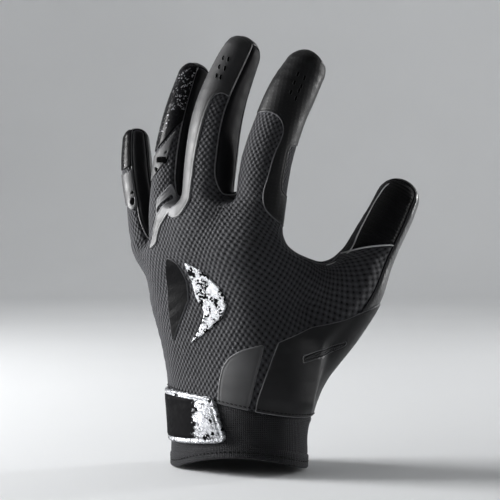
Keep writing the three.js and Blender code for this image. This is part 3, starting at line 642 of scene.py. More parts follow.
def smooth_look(name, colour, rough, grain=1400.0, deep=0.00006, edge=None, upper=None, **sockets):
    """A smooth sheet with a faint grain and slow changes of tone and gloss; upper colours it near the fingertips and,
    with it, a patch over a knuckle is made lighter as painted light.
    """
    k = Look(name, **sockets)
    spot = k.where()
    base = k.mottled(spot, 45.0, colour, 0.75)
    if upper is not None:
        x, _, z = k.split(spot)
        base = k.mix(k.range(z, 0.165, 0.205), base, upper)
        # Painted light: a patch over the knuckle is made 2.2 times lighter, standing for light that falls on it.
        painted_light_patch = k.math("MULTIPLY", k.range(x, -0.035, -0.0375), k.range(z, 0.134, 0.138))
        base = k.mix(painted_light_patch, base, shade(colour, 2.2))
    k.set("Base Color", edged(k, base, edge))
    k.set("Roughness", k.slow(spot, 160.0, rough - 0.06, rough + 0.06))
    k.set("Normal", k.bump(k.noise(spot, grain, 3.0), deep))
    return k.material


def grip_look(name):
    """A tacky palm skin: semi-gloss black with a low pebble grain, glossier round the end of the thumb."""
    k = Look(name, Coat_Weight=0.2, Coat_Roughness=0.2, Specular_IOR_Level=0.4)
    spot = k.where()
    pebble = k.cells(spot, 850.0, "SMOOTH_F1")
    k.set("Base Color", k.mix(k.slow(spot, 30.0), (0.010, 0.010, 0.011), (0.014, 0.014, 0.015)))
    rough = k.slow(spot, 120.0, 0.34, 0.44)
    x, _, z = k.split(spot)
    wrap = k.math("MULTIPLY", k.range(x, 0.070, 0.084), k.range(z, 0.108, 0.118))
    k.set("Roughness", k.math("SUBTRACT", rough, k.math("MULTIPLY", wrap, 0.22)))
    grain = k.math("MULTIPLY_ADD", k.noise(spot, 2200.0), 0.3, k.range(pebble, 0.8, 0.1))
    k.set("Normal", k.bump(grain, 0.00012))
    return k.material


def dotted_look(name, colour, edge):
    """A satin film with faint slanting rows of dots."""
    k = Look(name, Specular_IOR_Level=0.2)
    spot = k.where()
    x, _, z = k.split(k.stretch(spot, (700.0, 700.0, 700.0), (0, 0.6, 0)))
    dots = k.math("MULTIPLY", k.wave(x, 3.1), k.wave(z, 3.1))
    base = k.mottled(spot, 40.0, colour, 0.75)
    dotted = k.mix(k.range(dots, 0.5, 0.85), base, shade(colour, 1.4))
    k.set("Base Color", edged(k, dotted, edge))
    k.set("Roughness", k.slow(spot, 150.0, 0.38, 0.5))
    fine = k.noise(spot, 1800.0, 2.0)
    k.set("Normal", k.bump(k.math("MULTIPLY_ADD", fine, 0.4, k.range(dots, 0.4, 0.9)), 0.00005))
    return k.material


def sparkle_look(name, amount):
    """Glossy black film with silver flakes in patches."""
    k = Look(name, Coat_Weight=0.03, Coat_Roughness=0.08, Specular_IOR_Level=0.04)
    spot = k.where()
    pick = k.split(k.cells(spot, 1300.0, output="Color"))[0]
    grains = k.math("MULTIPLY", k.range(pick, 1 - amount, 1.0), k.range(k.noise(spot, 70.0), 0.46, 0.62))
    k.set("Base Color", k.mix(grains, (0.004, 0.004, 0.0045), (0.3, 0.3, 0.32)))
    k.set("Metallic", k.math("MULTIPLY", grains, 0.8))
    k.set("Roughness", k.range(pick, 0.0, 1.0, 0.2, 0.3))
    k.set("Normal", k.bump(k.noise(spot, 700.0, 3.0), 0.0001))
    return k.material


def foil_look(name, scale=520.0, bright=(0.62, 0.63, 0.66), specks=0.25, field=None):
    """Silver foil, crackled into small flakes with dark lines and specks; field is where a bare patch fades in."""
    k = Look(name, Specular_IOR_Level=0.01)
    spot = k.where()
    push = k.add("TexNoise", {"Vector": spot, "Scale": 300.0}).outputs["Color"]
    push = k.add("VectorMath", {0: push, "Scale": 0.002}, operation="SCALE").outputs[0]
    bent = k.add("VectorMath", {0: spot, 1: push}, operation="ADD").outputs[0]
    crack = k.cells(bent, scale, "DISTANCE_TO_EDGE")
    flake, speck, _ = k.split(k.cells(bent, scale, output="Color"))
    line = k.range(crack, 0.11, 0.03)
    patch = k.range(k.noise(spot, 220.0, 3.0), 0.42, 0.60)
    worn = k.math("MULTIPLY", line, k.range(patch, 0.0, 1.0, 0.25, 1.0, smooth=False))
    pit = k.math("MULTIPLY", k.range(speck, specks, 0.8 * specks), k.range(patch, 0.0, 0.5))
    worn = k.math("MAXIMUM", worn, pit)
    relief = k.math("SUBTRACT", flake, k.math("MULTIPLY", line, 1.5))
    if field is not None:
        ragged = k.math("MULTIPLY_ADD", k.noise(spot, 420.0, 4.0, 0.7), 0.012, k.split(spot)[0])
        bare = k.range(ragged, field + 0.001, field - 0.001)
        bare = k.math("MULTIPLY", bare, k.range(k.split(k.flat())[0], 2.5, 2.9))
        worn = k.math("MAXIMUM", worn, bare)
        relief = k.math("MULTIPLY", relief, k.math("SUBTRACT", 1.0, bare))
    silver = k.mix(flake, bright, shade(bright, 0.6))
    k.set("Base Color", k.mix(worn, silver, (0.005, 0.005, 0.0055)))
    k.set("Metallic", k.math("SUBTRACT", 1.0, worn))
    k.set("Roughness", k.math("MULTIPLY_ADD", worn, 0.15, k.range(flake, 0.0, 1.0, 0.26, 0.46)))
    k.set("Normal", k.bump(relief, 0.00025))
    return k.material


KNIT = knit_look("mesh knit", (0.044, 0.044, 0.049), (0.003, 0.003, 0.0035))
DARK_MESH = knit_look("dark mesh", (0.010, 0.010, 0.011), (0.001, 0.001, 0.001))
CUFF_KNIT = fine_look("cuff knit", (0.016, 0.016, 0.018))
RIB = fine_look("ribbed cloth", (0.004, 0.004, 0.0045), count=(0.0, 1.0), deep=0.0005, rough=0.5, sheen=0.03,
                gloss=0.08)
STRETCH = smooth_look("smooth stretch cloth", (0.006, 0.006, 0.007), 0.6, Specular_IOR_Level=0.1,
                      Sheen_Weight=0.1, Sheen_Roughness=0.35, Sheen_Tint=(0.7, 0.66, 0.85))
GRIP = grip_look("tacky grip")


def film_look(name, colour, rough, edge, gloss, **more):
    return smooth_look(name, colour, rough, edge=edge, Specular_IOR_Level=gloss, **more)


PALE_EDGE = (0.10, 0.10, 0.105)
FILM = film_look("satin film", (0.022, 0.022, 0.024), 0.45, (0.07, 0.07, 0.075), 0.3)
DOTTED = dotted_look("dotted film", (0.007, 0.007, 0.0075), (0.07, 0.07, 0.075))
LIGHT_FILM = film_look("light film", (0.070, 0.070, 0.072), 0.5, PALE_EDGE, 0.3, upper=(0.020, 0.020, 0.021))
WRIST_LIGHT = film_look("wrist film", (0.060, 0.060, 0.062), 0.5, PALE_EDGE, 0.3)
WRIST_DARK = film_look("dark wrist film", (0.014, 0.014, 0.015), 0.46, (0.13, 0.13, 0.135), 0.2)
RING_FILM = film_look("grey film", (0.055, 0.055, 0.057), 0.5, (0.08, 0.08, 0.082), 0.2)
SPARKLE = sparkle_look("sparkling gloss film", 0.16)
GLOSS = sparkle_look("gloss film", 0.01)
EMBLEM = film_look("dark emblem film", (0.005, 0.005, 0.0055), 0.4, (0.12, 0.12, 0.125), 0.015, grain=900.0,
                   deep=0.00015)
FOIL = foil_look("crackle foil", 800.0, bright=(0.82, 0.83, 0.86), specks=0.55)
STRAP = foil_look("strap foil", 620.0, specks=0.12, field=-0.0185)
PIPING = smooth_look("seam piping", (0.11, 0.11, 0.115), 0.45)
# The light piping's colour is raised to 0.6 to stand for light it catches: partly its own light colour, partly a
# painted highlight.
PIPING_PAINTED_HIGHLIGHT = smooth_look("seam piping with painted highlight", (0.6, 0.6, 0.61), 0.4)
# The raised rims round the vent slits are coloured lighter than the films as a painted highlight.
VENT_RIM_HIGHLIGHT = smooth_look("vent rim with painted highlight", (0.040, 0.040, 0.042), 0.5)
# Near-black without gloss, laid in slits and under holes in the films: painted shade of the openings.
HOLE_SHADE = smooth_look("painted shade black", (0.0012, 0.0012, 0.0013), 0.9, Specular_IOR_Level=0.01)
THREAD = smooth_look("black thread", (0.004, 0.004, 0.0045), 0.65, grain=4000.0, deep=0.0001,
                     Specular_IOR_Level=0.1)


# ---- Panels of cloth ----

points, quads, tags, uvs, cells = refined(3)
normals = on_skin(points)
panel_of = tags // 3
kind_of = tags % 3

# Edges between two panels, by their names
ends = np.stack([quads, np.roll(quads, -1, axis=1)], axis=-1).reshape(-1, 2)
owner = np.repeat(panel_of, 4)
key = ends.min(1) * len(points) + ends.max(1)
order = np.argsort(key, kind="stable")
twin = np.nonzero(key[order][1:] == key[order][:-1])[0]
one, two = order[twin], order[twin + 1]
split = owner[one] != owner[two]
SEAMS = {}
for a, b in zip(one[split], two[split]):
    pair = tuple(sorted((PANELS[owner[a]], PANELS[owner[b]])))
    SEAMS.setdefault(pair, []).append(tuple(ends[a]))


def chains(edges):
    """Runs of edges as ordered lists of points. A closed one ends where it starts."""
    links = {}
    for a, b in edges:
        links.setdefault(int(a), []).append(int(b))
        links.setdefault(int(b), []).append(int(a))
    left = {frozenset((int(a), int(b))) for a, b in edges}
    out = []
    for start in sorted(links, key=lambda v: (len(links[v]) == 2, v)):
        while any(frozenset((start, n)) in left for n in links[start]):
            run = [start]
            while True:
                step = next((n for n in links[run[-1]] if frozenset((run[-1], n)) in left), None)
                if step is None:
                    break
                left.discard(frozenset((run[-1], step)))
                run.append(step)
                if step == start or len(links[step]) != 2:
                    break
            out.append(run)
    return out


def shell(name, mask, material, slot, nodes, outer, inner, uv=None):
    """A closed wall of cloth over part of the skin, between two lifts from it."""
    P, Q, used = compact(points, quads[mask])
    N = normals[used]
    n = len(P)
    rim = border(Q)
    rim_points = np.array(sorted({v for e in rim for v in e}))
    centre = P[Q].mean(1)
    pull = np.zeros((n, 3))
    count = np.zeros(n)
    for c in range(4):
        np.add.at(pull, Q[:, c], centre)
        np.add.at(count, Q[:, c], 1)
    way = pull / count[:, None] - P
    way /= np.maximum(np.linalg.norm(way, axis=1), 1e-6)[:, None]
    P[rim_points] += 0.15 * way[rim_points]
    high, low = outer(P, N, used), inner(P, N, used)
    if nodes == ["back_panel"]:
        P, N = spanned(P, N)
    if nodes == ["palm_panel"]:
        d = nearest(P, tree_of(P[rim_points]))
        share = ramp(d, 1, 8) * ramp(P[:, 2] / H, 0.60, 0.50) * ramp(P[:, 0], 62, 44)
        P, N = eased(P, Q, N, share)
    verts = np.vstack([P + N * high[:, None], P + N * low[:, None]])
    flat = uvs[mask] if uv is None else uv(P, Q)
    at = np.zeros((n, 2))
    at[Q] = flat
    walls = np.array([(b, a, a + n, b + n) for a, b in rim])
    faces = np.vstack([Q, Q[:, ::-1] + n, walls])
    flat = np.vstack([flat, flat[:, ::-1], at[walls % n]])
    return new_mesh(name, verts, faces, material, slot, nodes, flat)


skin_tree = tree_of(points)
on_back = np.zeros(len(points), bool)
on_back[quads[panel_of == 0]] = True
back_tree = tree_of([p for pair, es in SEAMS.items() if "back_panel" in pair for e in es
                     for p in (points[e[0]], points[e[1]], points[list(e)].mean(0))])


def spanned(P, N):
    """Cloth of the back, and films on it, span the hollows between the knuckles away from the seams of the back."""
    over = on_back[[skin_tree.find(p)[1] for p in P]]
    share = (ramp(nearest(P, back_tree), *SPAN_FADE) * over)[:, None]
    Q = P.copy()
    for _ in range(5):
        f, g = skin(Q, True)
        Q -= g * (f / np.sqrt(np.maximum((g * g).sum(1), 0.05)))[:, None]
    M = skin(Q, True)[1]
    M[:, 2] *= ramp(Q[:, 2], *LEVEL_FADE)
    N = mix(N, M / np.linalg.norm(M, axis=1)[:, None], share)
    return mix(P, Q, share), N / np.linalg.norm(N, axis=1)[:, None]


def eased(P, Q, N, share, times=140):
    """Cloth drawn smooth over hollows: the mesh relaxes where share is above 0."""
    ends = np.sort(np.stack([Q, np.roll(Q, -1, axis=1)], axis=-1).reshape(-1, 2), axis=1)
    a, b = np.unique(ends, axis=0).T
    count = np.bincount(np.r_[a, b], minlength=len(P))[:, None]
    S = P.copy()
    for _ in range(times):
        total = np.stack([np.bincount(np.r_[a, b], np.r_[S[b, c], S[a, c]], len(P)) for c in range(3)], 1)
        S += (total / count - S) * 0.7 * share[:, None]
    face = np.cross(S[Q[:, 2]] - S[Q[:, 0]], S[Q[:, 3]] - S[Q[:, 1]])
    M = np.stack([np.bincount(Q.ravel(), np.repeat(face[:, c], 4), len(P)) for c in range(3)], 1)
    M /= np.maximum(np.linalg.norm(M, axis=1), 1e-9)[:, None]
    M *= np.where((M * N).sum(1) < -0.3, -1, 1)[:, None]
    N = mix(N, M, np.minimum(1, 3 * share)[:, None])
    return S, N / np.linalg.norm(N, axis=1)[:, None]


def seam_lift(panel, roll=0.7, wide=0.85, puff=0.22, base=0.1):
    marks = [points[v] for pair, es in SEAMS.items() if panel in pair for e in es for v in e]
    marks += [points[list(e)].mean(0) for pair, es in SEAMS.items() if panel in pair for e in es]
    tree = tree_of(marks)

    def lift(P, N, used):
        d = nearest(P, tree)
        pucker = 1 + 0.5 * wave(P, 2.6, 3)
        crease = wave(P, 17, 1) * 0.28 + wave(P, 7, 2) * 0.12
        return base + crease * ramp(d, 0, 5) - roll * np.exp(-(d / wide) ** 2) + puff * pucker * np.exp(
            -((d - 2.4) / 1.5) ** 2)
    return lift


def flat_lift(value):
    return lambda P, N, used: np.full(len(P), float(value))


def is_panel(name):
    return panel_of == PANELS.index(name)


CLOTHS = [
    ("back_cloth", "back_panel", KNIT, "back_knit"),
    ("palm_skin", "palm_panel", GRIP, "grip"),
    ("side_cloth_index_middle", "fourchette_index_middle", STRETCH, "side_stretch"),
    ("side_cloth_middle_ring", "fourchette_middle_ring", STRETCH, "side_stretch"),
    ("side_cloth_ring_little", "fourchette_ring_little", STRETCH, "side_stretch"),
    ("web_cloth", "web_gusset", KNIT, "back_knit"),
]
for piece, node, look, slot in CLOTHS:
    shell(piece, is_panel(node), look, slot, [node], seam_lift(node), flat_lift(CLOTH_INSIDE))


def thumb_uv(P, Q):
    """Ribs run across the thumb, 1.9 mm apart, counted along it."""
    a, b = LINES["thumb"][3, :3], LINES["thumb"][-1, :3]
    along = (P - a) @ unit(b - a) / 1.9
    return np.stack([np.zeros(Q.shape), along[Q]], -1)


shell("thumb_cloth", is_panel("thumb_panel"), RIB, "thumb_rib", ["thumb_panel"], seam_lift("thumb_panel"),
      flat_lift(CLOTH_INSIDE), thumb_uv)

hem_edges = border(quads)
hem_tree = tree_of([points[v] for e in hem_edges for v in e] + [points[list(e)].mean(0) for e in hem_edges])


def cuff_outer(P, N, used):
    d = nearest(P, hem_tree)
    fold = 0.55 * ramp(d, 7.6, 6.6) - 0.25 * np.exp(-((d - 7.4) / 0.5) ** 2)
    fold -= 0.3 * np.exp(-((d - 3.6) / 0.55) ** 2)
    turn = 1.0 - np.sqrt(np.maximum(0, 1 - (1 - np.minimum(d / 1.2, 1)) ** 2))
    return seam_lift("cuff")(P, N, used) + fold - 1.15 * turn


def cuff_inner(P, N, used):
    d = nearest(P, hem_tree)
    return -1.9 + 0.5 * (1.0 - np.sqrt(np.maximum(0, 1 - (1 - np.minimum(d / 1.2, 1)) ** 2)))


def cuff_uv(P, Q):
    """Wales 0.9 mm apart round the wrist and courses 1.1 mm apart up it."""
    turns = 240
    middle = P.mean(0)
    u = np.arctan2(P[:, 1] - middle[1], P[:, 0] - middle[0]) / (2 * math.pi) * turns
    u = u[Q]
    u = u + turns * np.rint((u[:, :1] - u) / turns)
    return np.stack([u, P[Q][:, :, 2] / 1.1], -1)


shell("cuff_cloth", is_panel("cuff"), CUFF_KNIT, "cuff_knit", ["cuff"], cuff_outer, cuff_inner, cuff_uv)


# ---- Piping and stitches ----

def smoothed(P, times):
    P = P.copy()
    closed = np.allclose(P[0], P[-1])
    for _ in range(times):
        Q = P.copy()
        P[1:-1] = 0.5 * Q[1:-1] + 0.25 * (Q[:-2] + Q[2:])
        if closed:
            P[0] = P[-1] = 0.5 * Q[0] + 0.25 * (Q[1] + Q[-2])
    return P


def sweep(P, N, radius, sides=8, flat=1.0):
    """A closed tube along a line; flat squeezes it along the normal."""
    T = np.gradient(P, axis=0)
    T /= np.linalg.norm(T, axis=1)[:, None]
    B = np.cross(T, N)
    B /= np.linalg.norm(B, axis=1)[:, None]
    N = np.cross(B, T)
    n = len(P)
    size = np.full(n, radius)
    size[0] = size[-1] = radius * 0.3
    turns = [2 * math.pi * k / sides for k in range(sides)]
    rings = [P + size[:, None] * (math.cos(t) * flat * N + math.sin(t) * B) for t in turns]
    verts = np.stack(rings, 1).reshape(-1, 3)
    faces = []
    for k in range(n - 1):
        for s in range(sides):
            r = (s + 1) % sides
            faces.append((k * sides + s, k * sides + r, (k + 1) * sides + r, (k + 1) * sides + s))
    faces.append(tuple(range(sides))[::-1])
    faces.append(tuple((n - 1) * sides + s for s in range(sides)))
    return verts, faces


def joined(parts):
    verts, faces, start = [], [], 0
    for v, f in parts:
        verts.append(v)
        faces += [tuple(start + k for k in face) for face in f]
        start += len(v)
    return np.vstack(verts), faces


def seam_runs(pairs, shortest=6.0):
    """Smooth lines along the seams between named panels, with their normals."""
    out = []
    for pair in pairs:
        for run in chains(SEAMS[tuple(sorted(pair))]):
            P = smoothed(points[run], 3)
            if np.linalg.norm(np.diff(P, axis=0), axis=1).sum() > shortest:
                out.append((P, normals[run]))
    return out


GUSSETS = ["fourchette_index_middle", "fourchette_middle_ring", "fourchette_ring_little", "web_gusset"]
# Piping along seams: the panels that meet, radius, how deep it sinks, look and slot
PIPES = {
    "seam_piping_back": ([("back_panel", g) for g in GUSSETS], 0.38, 0, PIPING, "side_stretch"),
    "seam_piping_palm": ([("palm_panel", g) for g in GUSSETS + ["back_panel"]], 0.45, 0.1, STRETCH, "side_stretch"),
    "seam_piping_thumb": ([("thumb_panel", "web_gusset"), ("palm_panel", "thumb_panel")], 0.4, 0, STRETCH,
                          "thumb_rib"),
    "thumb_base_piping": ([("back_panel", "thumb_panel")], 0.42, 0, PIPING_PAINTED_HIGHLIGHT, "thumb_rib"),
}
for name, (pairs, radius, sunk, look, slot) in PIPES.items():
    new_mesh(name, *joined([sweep(P - N * sunk, N, radius) for P, N in seam_runs(pairs)]), look, slot)


def seen(places):
    """The first points of the skin that the camera sees at places in its image, and their normals."""
    rays = np.array([((u - CENTRE) * PIXEL / -EYE[1], 1, (CENTRE - v) * PIXEL / -EYE[1]) for u, v in places])
    far = np.arange(*SIGHT)
    f = skin((EYE + rays[:, None] * far[None, :, None]).reshape(-1, 3))[0].reshape(len(places), -1)
    first = np.where((f < TOUCH).any(1), (f < TOUCH).argmax(1), f.argmin(1))
    P = EYE + rays * far[first][:, None]
    return P, on_skin(P)


def traced(places, step=1.2):
    """A smooth line on the skin through places that the camera sees."""
    P, N = resampled(*seen(places), step)
    P = smoothed(P, 6)
    return P, on_skin(P)


def shares_of(places):
    """An outline as shares of the height from places that the camera sees."""
    return [(p[0] / H, p[2] / H) for p in seen(places)[0]]


def resampled(P, N, step, start=0.0):
    along = np.r_[0, np.cumsum(np.linalg.norm(np.diff(P, axis=0), axis=1))]
    at = np.arange(start, along[-1], step)
    Q = np.stack([np.interp(at, along, P[:, c]) for c in range(3)], 1)
    M = np.stack([np.interp(at, along, N[:, c]) for c in range(3)], 1)
    return Q, M / np.linalg.norm(M, axis=1)[:, None]


def dashes(P, N, step, length, radius, lift):
    """Short sewn stitches along a line, each dipping into the cloth at its ends."""
    Q, M = resampled(P, N, step)
    T = np.gradient(Q, axis=0)
    T /= np.linalg.norm(T, axis=1)[:, None]
    parts = []
    for q, m, t in zip(Q, M, T):
        share = np.linspace(-1, 1, 7)
        line = q + np.outer(share * length / 2, t) + np.outer(lift - 0.45 * share ** 4, m)
        parts.append(sweep(line, np.repeat(m[None], 7, 0), radius, 6))
    return parts


cuff_top = [(P, N) for pair in SEAMS if "cuff" in pair for P, N in seam_runs([pair])]
stitches = []
for P, N in cuff_top:
    line = P + (0, 0, 1.7)
    settle(line, np.zeros(len(line), bool), 2)
    filmed = (P[:, 1] < 0) & (P[:, 0] > -14)
    stitches += dashes(line + N * np.where(filmed, 0.55, 0.0)[:, None], N, 2.5, 1.7, 0.26, 0.42)
new_mesh("cuff_seam_stitches", *joined(stitches), THREAD, "cuff_knit")
stitches = []
for run in chains(hem_edges):
    P = smoothed(points[run], 3)
    line = P + (0, 0, 3.6)
    settle(line, np.ones(len(line), bool), 2)
    stitches += dashes(line, normals[run], 2.6, 1.8, 0.27, 0.6)
new_mesh("hem_stitches", *joined(stitches), THREAD, "cuff_knit")


# ---- Films and tabs ----

fine_points, fine_quads, fine_tags, _, fine_cells = refined(4)
fine_panel, fine_kind = fine_tags // 3, fine_tags % 3


def rounded(outline, cut=1.3, times=2):
    """An outline in millimetres with its corners rounded off."""
    P = np.array(outline, float) * H
    Q = np.roll(P, -1, axis=0)
    share = np.minimum(0.4, cut / np.linalg.norm(Q - P, axis=1))[:, None]
    P = np.stack([mix(P, Q, share), mix(Q, P, share)], 1).reshape(-1, 2)
    for _ in range(times):
        Q = np.roll(P, -1, axis=0)
        P = np.stack([0.75 * P + 0.25 * Q, 0.25 * P + 0.75 * Q], 1).reshape(-1, 2)
    return P


def within(P, outline):
    """Distance to an outline seen from the front, positive inside, and the way that it grows."""
    value = np.empty(len(P))
    way = np.zeros((len(P), 3))
    a, b = outline, np.roll(outline, -1, axis=0)
    e = b - a
    for start in range(0, len(P), CHUNK):
        part = slice(start, start + CHUNK)
        x, z = P[part, 0][:, None], P[part, 2][:, None]
        t = np.clip(((x - a[:, 0]) * e[:, 0] + (z - a[:, 1]) * e[:, 1]) / (e * e).sum(1), 0, 1)
        dx, dz = x - a[:, 0] - t * e[:, 0], z - a[:, 1] - t * e[:, 1]
        far = dx * dx + dz * dz
        k = (np.arange(len(x)), far.argmin(1))
        d = np.sqrt(far[k])
        spans = (a[:, 1] > z) != (b[:, 1] > z)
        rise = np.where(e[:, 1] == 0, 1, e[:, 1])
        hits = spans & (x < a[:, 0] + (z - a[:, 1]) * e[:, 0] / rise)
        sign = np.where(hits.sum(1) % 2, 1.0, -1.0)
        value[part] = sign * d
        way[part, 0::2] = np.stack([dx[k], dz[k]], 1) / np.maximum(d, 1e-9)[:, None] * sign[:, None]
    return value, way


def largest(faces, count):
    """The faces of the largest connected piece."""
    root = list(range(count))

    def find(v):
        while root[v] != v:
            root[v] = root[root[v]]
            v = root[v]
        return v
    for f in faces:
        top = find(f[0])
        for v in f[1:]:
            root[find(v)] = top
    names = [find(f[0]) for f in faces]
    most = max(set(names), key=names.count)
    return [f for f, n in zip(faces, names) if n == most]


def cut_sheet(mask, outline, holes, deep, corner):
    """The part of the skin inside an outline and outside its holes: points, normals and faces."""
    P, Q, _ = compact(fine_points, fine_quads[mask])
    shape = rounded(outline, corner, 2 if corner > 1 else 1)
    s, _ = within(P, shape)
    P, Q, _ = compact(P, Q[(s[Q] > -MARGIN).any(1)])
    N = on_skin(P)
    best = None
    for ring, sign in [(shape, 1)] + [(rounded(h, 0.35, 1), -1) for h in holes] + [(None, 1)]:
        if ring is None:
            value, way = deep - P[:, 1], np.tile([0.0, -1.0, 0.0], (len(P), 1))
        else:
            value, way = within(P, ring)
            value, way = sign * value, sign * way
        way = way - (way * N).sum(1)[:, None] * N
        size = np.maximum(np.linalg.norm(way, axis=1), 0.15)
        value, way = value / size, way / size[:, None]
        if best is None:
            best = value, way
        else:
            less = value < best[0]
            best = np.where(less, value, best[0]), np.where(less[:, None], way, best[1])
    s, way = best
    snap = np.abs(s) < SNAP
    P[snap] -= way[snap] * s[snap, None]
    s = np.where(snap, 0, s)
    T = np.vstack([Q[:, [0, 1, 2]], Q[:, [0, 2, 3]]])
    S = s[T]
    faces = [tuple(map(int, t)) for t in T[(S >= 0).all(1) & (S > 0).any(1)]]
    made, extra = {}, []

    def between(a, b):
        pair = (min(a, b), max(a, b))
        if pair not in made:
            made[pair] = len(P) + len(extra)
            extra.append(mix(P[a], P[b], s[a] / (s[a] - s[b])))
        return made[pair]

    for t in T[(S > 0).any(1) & (S < 0).any(1)]:
        t = [int(v) for v in t]
        poly = []
        for a, b in zip(t, t[1:] + t[:1]):
            if s[a] >= 0:
                poly.append(a)
            if s[a] * s[b] < 0:
                poly.append(between(a, b))
        if len(poly) > 2:
            faces.append(tuple(poly))
    faces = largest(faces, len(P) + len(extra))
    P = np.vstack([P] + [np.array(extra)] * bool(extra))
    used = sorted({v for f in faces for v in f})
    place = {v: k for k, v in enumerate(used)}
    faces = [tuple(place[v] for v in f) for f in faces]
    P = P[used]
    return P, on_skin(P), faces


def rim_of(faces):
    have = {(a, b) for f in faces for a, b in zip(f, f[1:] + f[:1])}
    return [(a, b) for a, b in have if (b, a) not in have]


def film(name, mask, outline, holes, material, slot, nodes, low=0.0, thick=FILM_THICK, edge=0.45, deep=200.0,
         relief=None, corner=1.3):
    """A film on the skin with a rounded edge: low and thick say how high it lies, deep how far round it reaches."""
    P, N, faces = cut_sheet(mask, outline, holes, deep, corner)
    rim = sorted(rim_of(faces))
    marks = [P[a] for a, b in rim] + [(P[a] + P[b]) / 2 for a, b in rim]
    d = nearest(P, tree_of(marks))
    turn = np.sqrt(np.maximum(0, 1 - (1 - np.minimum(d / edge, 1)) ** 2))
    top = low + thick * (0.3 + 0.7 * turn)
    if relief is not None:
        top = top + relief(P, d)
    P, N = spanned(P, N)
    n = len(P)
    verts = np.vstack([P + N * top[:, None], P + N * (low - TUCK)])
    faces = faces + [tuple(v + n for v in f[::-1]) for f in faces] + [(b, a, a + n, b + n) for a, b in rim]
    return new_mesh(name, verts, faces, material, slot, nodes, [(d[v % n], 0) for f in faces for v in f], 60)


def back_in(first, last, start, end):
    i, j = fine_cells.T
    return (fine_kind == BACK) & (i >= first) & (i <= last) & (j >= start) & (j < end)


def welded(P, d):
    """A raised rim with a fine groove inside it."""
    return 0.10 * np.exp(-((d - 0.75) / 0.35) ** 2) - 0.14 * np.exp(-((d - 1.5) / 0.3) ** 2)


O = OUTLINES
# Places seen by the camera, in pixels of its image
RING_HOLES = [[(167.8, 151.1), (165, 153.7), (167.8, 153.9)],
              [(158, 157.6), (166.5, 157), (165.4, 163), (157.2, 162.2)],
              [(154.6, 166.9), (159.2, 169.1), (156.5, 172.2)]]
LITTLE_HOLES = [[(133.9, 190.9), (131.8, 194.2), (135, 193.9)],
                [(131.8, 198), (135.3, 198), (135, 203.3), (132.8, 205.6), (130.6, 202.8)]]
INDEX_VENTS = [(298.5, 73), (295, 81.5), (291.5, 90.5), (304.5, 76.5), (301.5, 84.5), (299, 89), (296.2, 96.5)]
MIDDLE_VENTS = [(224.8, 56.5), (221, 65.5), (217.6, 74.5), (229.8, 58), (225.8, 67), (222, 75.8)]
THUMB_EDGE = [(326, 265.2), (331.7, 264.2), (337.2, 261.7), (345, 256.2), (352.8, 246.7), (358.3, 235.6),
              (363.9, 224.4), (369.4, 212.2), (375, 202.2), (379.8, 194),
              (384.2, 187.6), (390, 183)]

i, j = fine_cells.T
panel = {name: fine_panel == k for k, name in enumerate(PANELS)}
index_faces = back_in(15, 18, 12, 26) | (panel["web_gusset"] & (fine_kind == SIDE) & (i == 18))
film("index_film", index_faces, O["index"], [O["indexVent"]], DOTTED, "film", ["index_overlay"], relief=welded,
     deep=12.0)
middle_faces = back_in(10, 13, 9, 27) | back_in(4, 9, 9, 17)
film("middle_film", middle_faces, O["middle"], [O["knuckleSlot"]], LIGHT_FILM, "film", ["middle_overlay"],
     relief=welded, corner=1.0)
film("ring_gloss", back_in(5, 8, 16, 26), O["ringTip"], [], SPARKLE, "gloss_film", ["ring_overlay_tip"])
film("ring_film", back_in(5, 8, 14, 26), O["ringSide"], [shares_of(h) for h in RING_HOLES], RING_FILM, "film",
     ["ring_overlay_side"])
film("little_gloss", back_in(0, 3, 12, 21), O["littleTip"], [], GLOSS, "gloss_film", ["little_overlay_tip"])
film("little_film", back_in(0, 3, 12, 21), O["littleSide"], [shares_of(h) for h in LITTLE_HOLES], FILM, "film",
     ["little_overlay_side"])
# Black sheets under the holes of the ring and little films: partly the dark material beneath, partly painted shade,
# as they are drawn black and without gloss.
for name, shapes, span in [("ring", RING_HOLES, (5, 8)), ("little", LITTLE_HOLES, (0, 3))]:
    for n, hole in enumerate(shapes):
        middle = np.mean(hole, 0)
        spread = [tuple(middle + 1.5 * (np.array(h) - middle)) for h in hole]
        film(f"{name}_film_window_{n + 1}", back_in(*span, 10, 26), shares_of(spread), [], HOLE_SHADE, "film", [],
             thick=0.42, edge=0.1, corner=0.5)
film("wrist_film_small", back_in(0, 18, 4, 9), O["wristSmall"], [], WRIST_LIGHT, "film", ["wrist_overlay_small"],
     relief=welded)
wrist_faces = back_in(8, 23, 4, 12) | (panel["palm_panel"] & (fine_kind == SIDE) & (i >= 18) & (j < 12))
film("wrist_film_large", wrist_faces, O["wristLarge"], [O["wristSlot"]], WRIST_DARK, "film",
     ["wrist_overlay_large"], relief=welded, deep=14.0)
wider = [(x + dx, z + dz) for (x, z), (dx, dz) in zip(O["wristSlot"], [
    (-0.004, 0.004), (0, 0.005), (0.004, 0.004), (0.004, -0.004), (0, -0.005), (-0.004, -0.004)])]
film("wrist_slot_mesh", wrist_faces, wider, [], DARK_MESH, "film", [], thick=0.4)


def vents(name, places, lift=FILM_THICK):
    """Slanting slits in a film, drawn as near-black capsules laid on it as painted shade, each in a raised rim
    coloured lighter as a painted highlight.
    """
    slits, rims = [], []
    for u, v in places:
        P, N = seen([(u, v), (u - 0.9, v + 2.3), (u - 1.6, v + 4.4)])
        P, N = resampled(P, N, np.linalg.norm(P[2] - P[0]) / 8)
        rims.append(sweep(P + N * lift, N, 0.82, 10, 0.22))
        slits.append(sweep(P + N * (lift + 0.1), N, 0.6, 10, 0.3))
    new_mesh(name, *joined(slits), HOLE_SHADE, "film")
    new_mesh(name + "_rims", *joined(rims), VENT_RIM_HIGHLIGHT, "film")


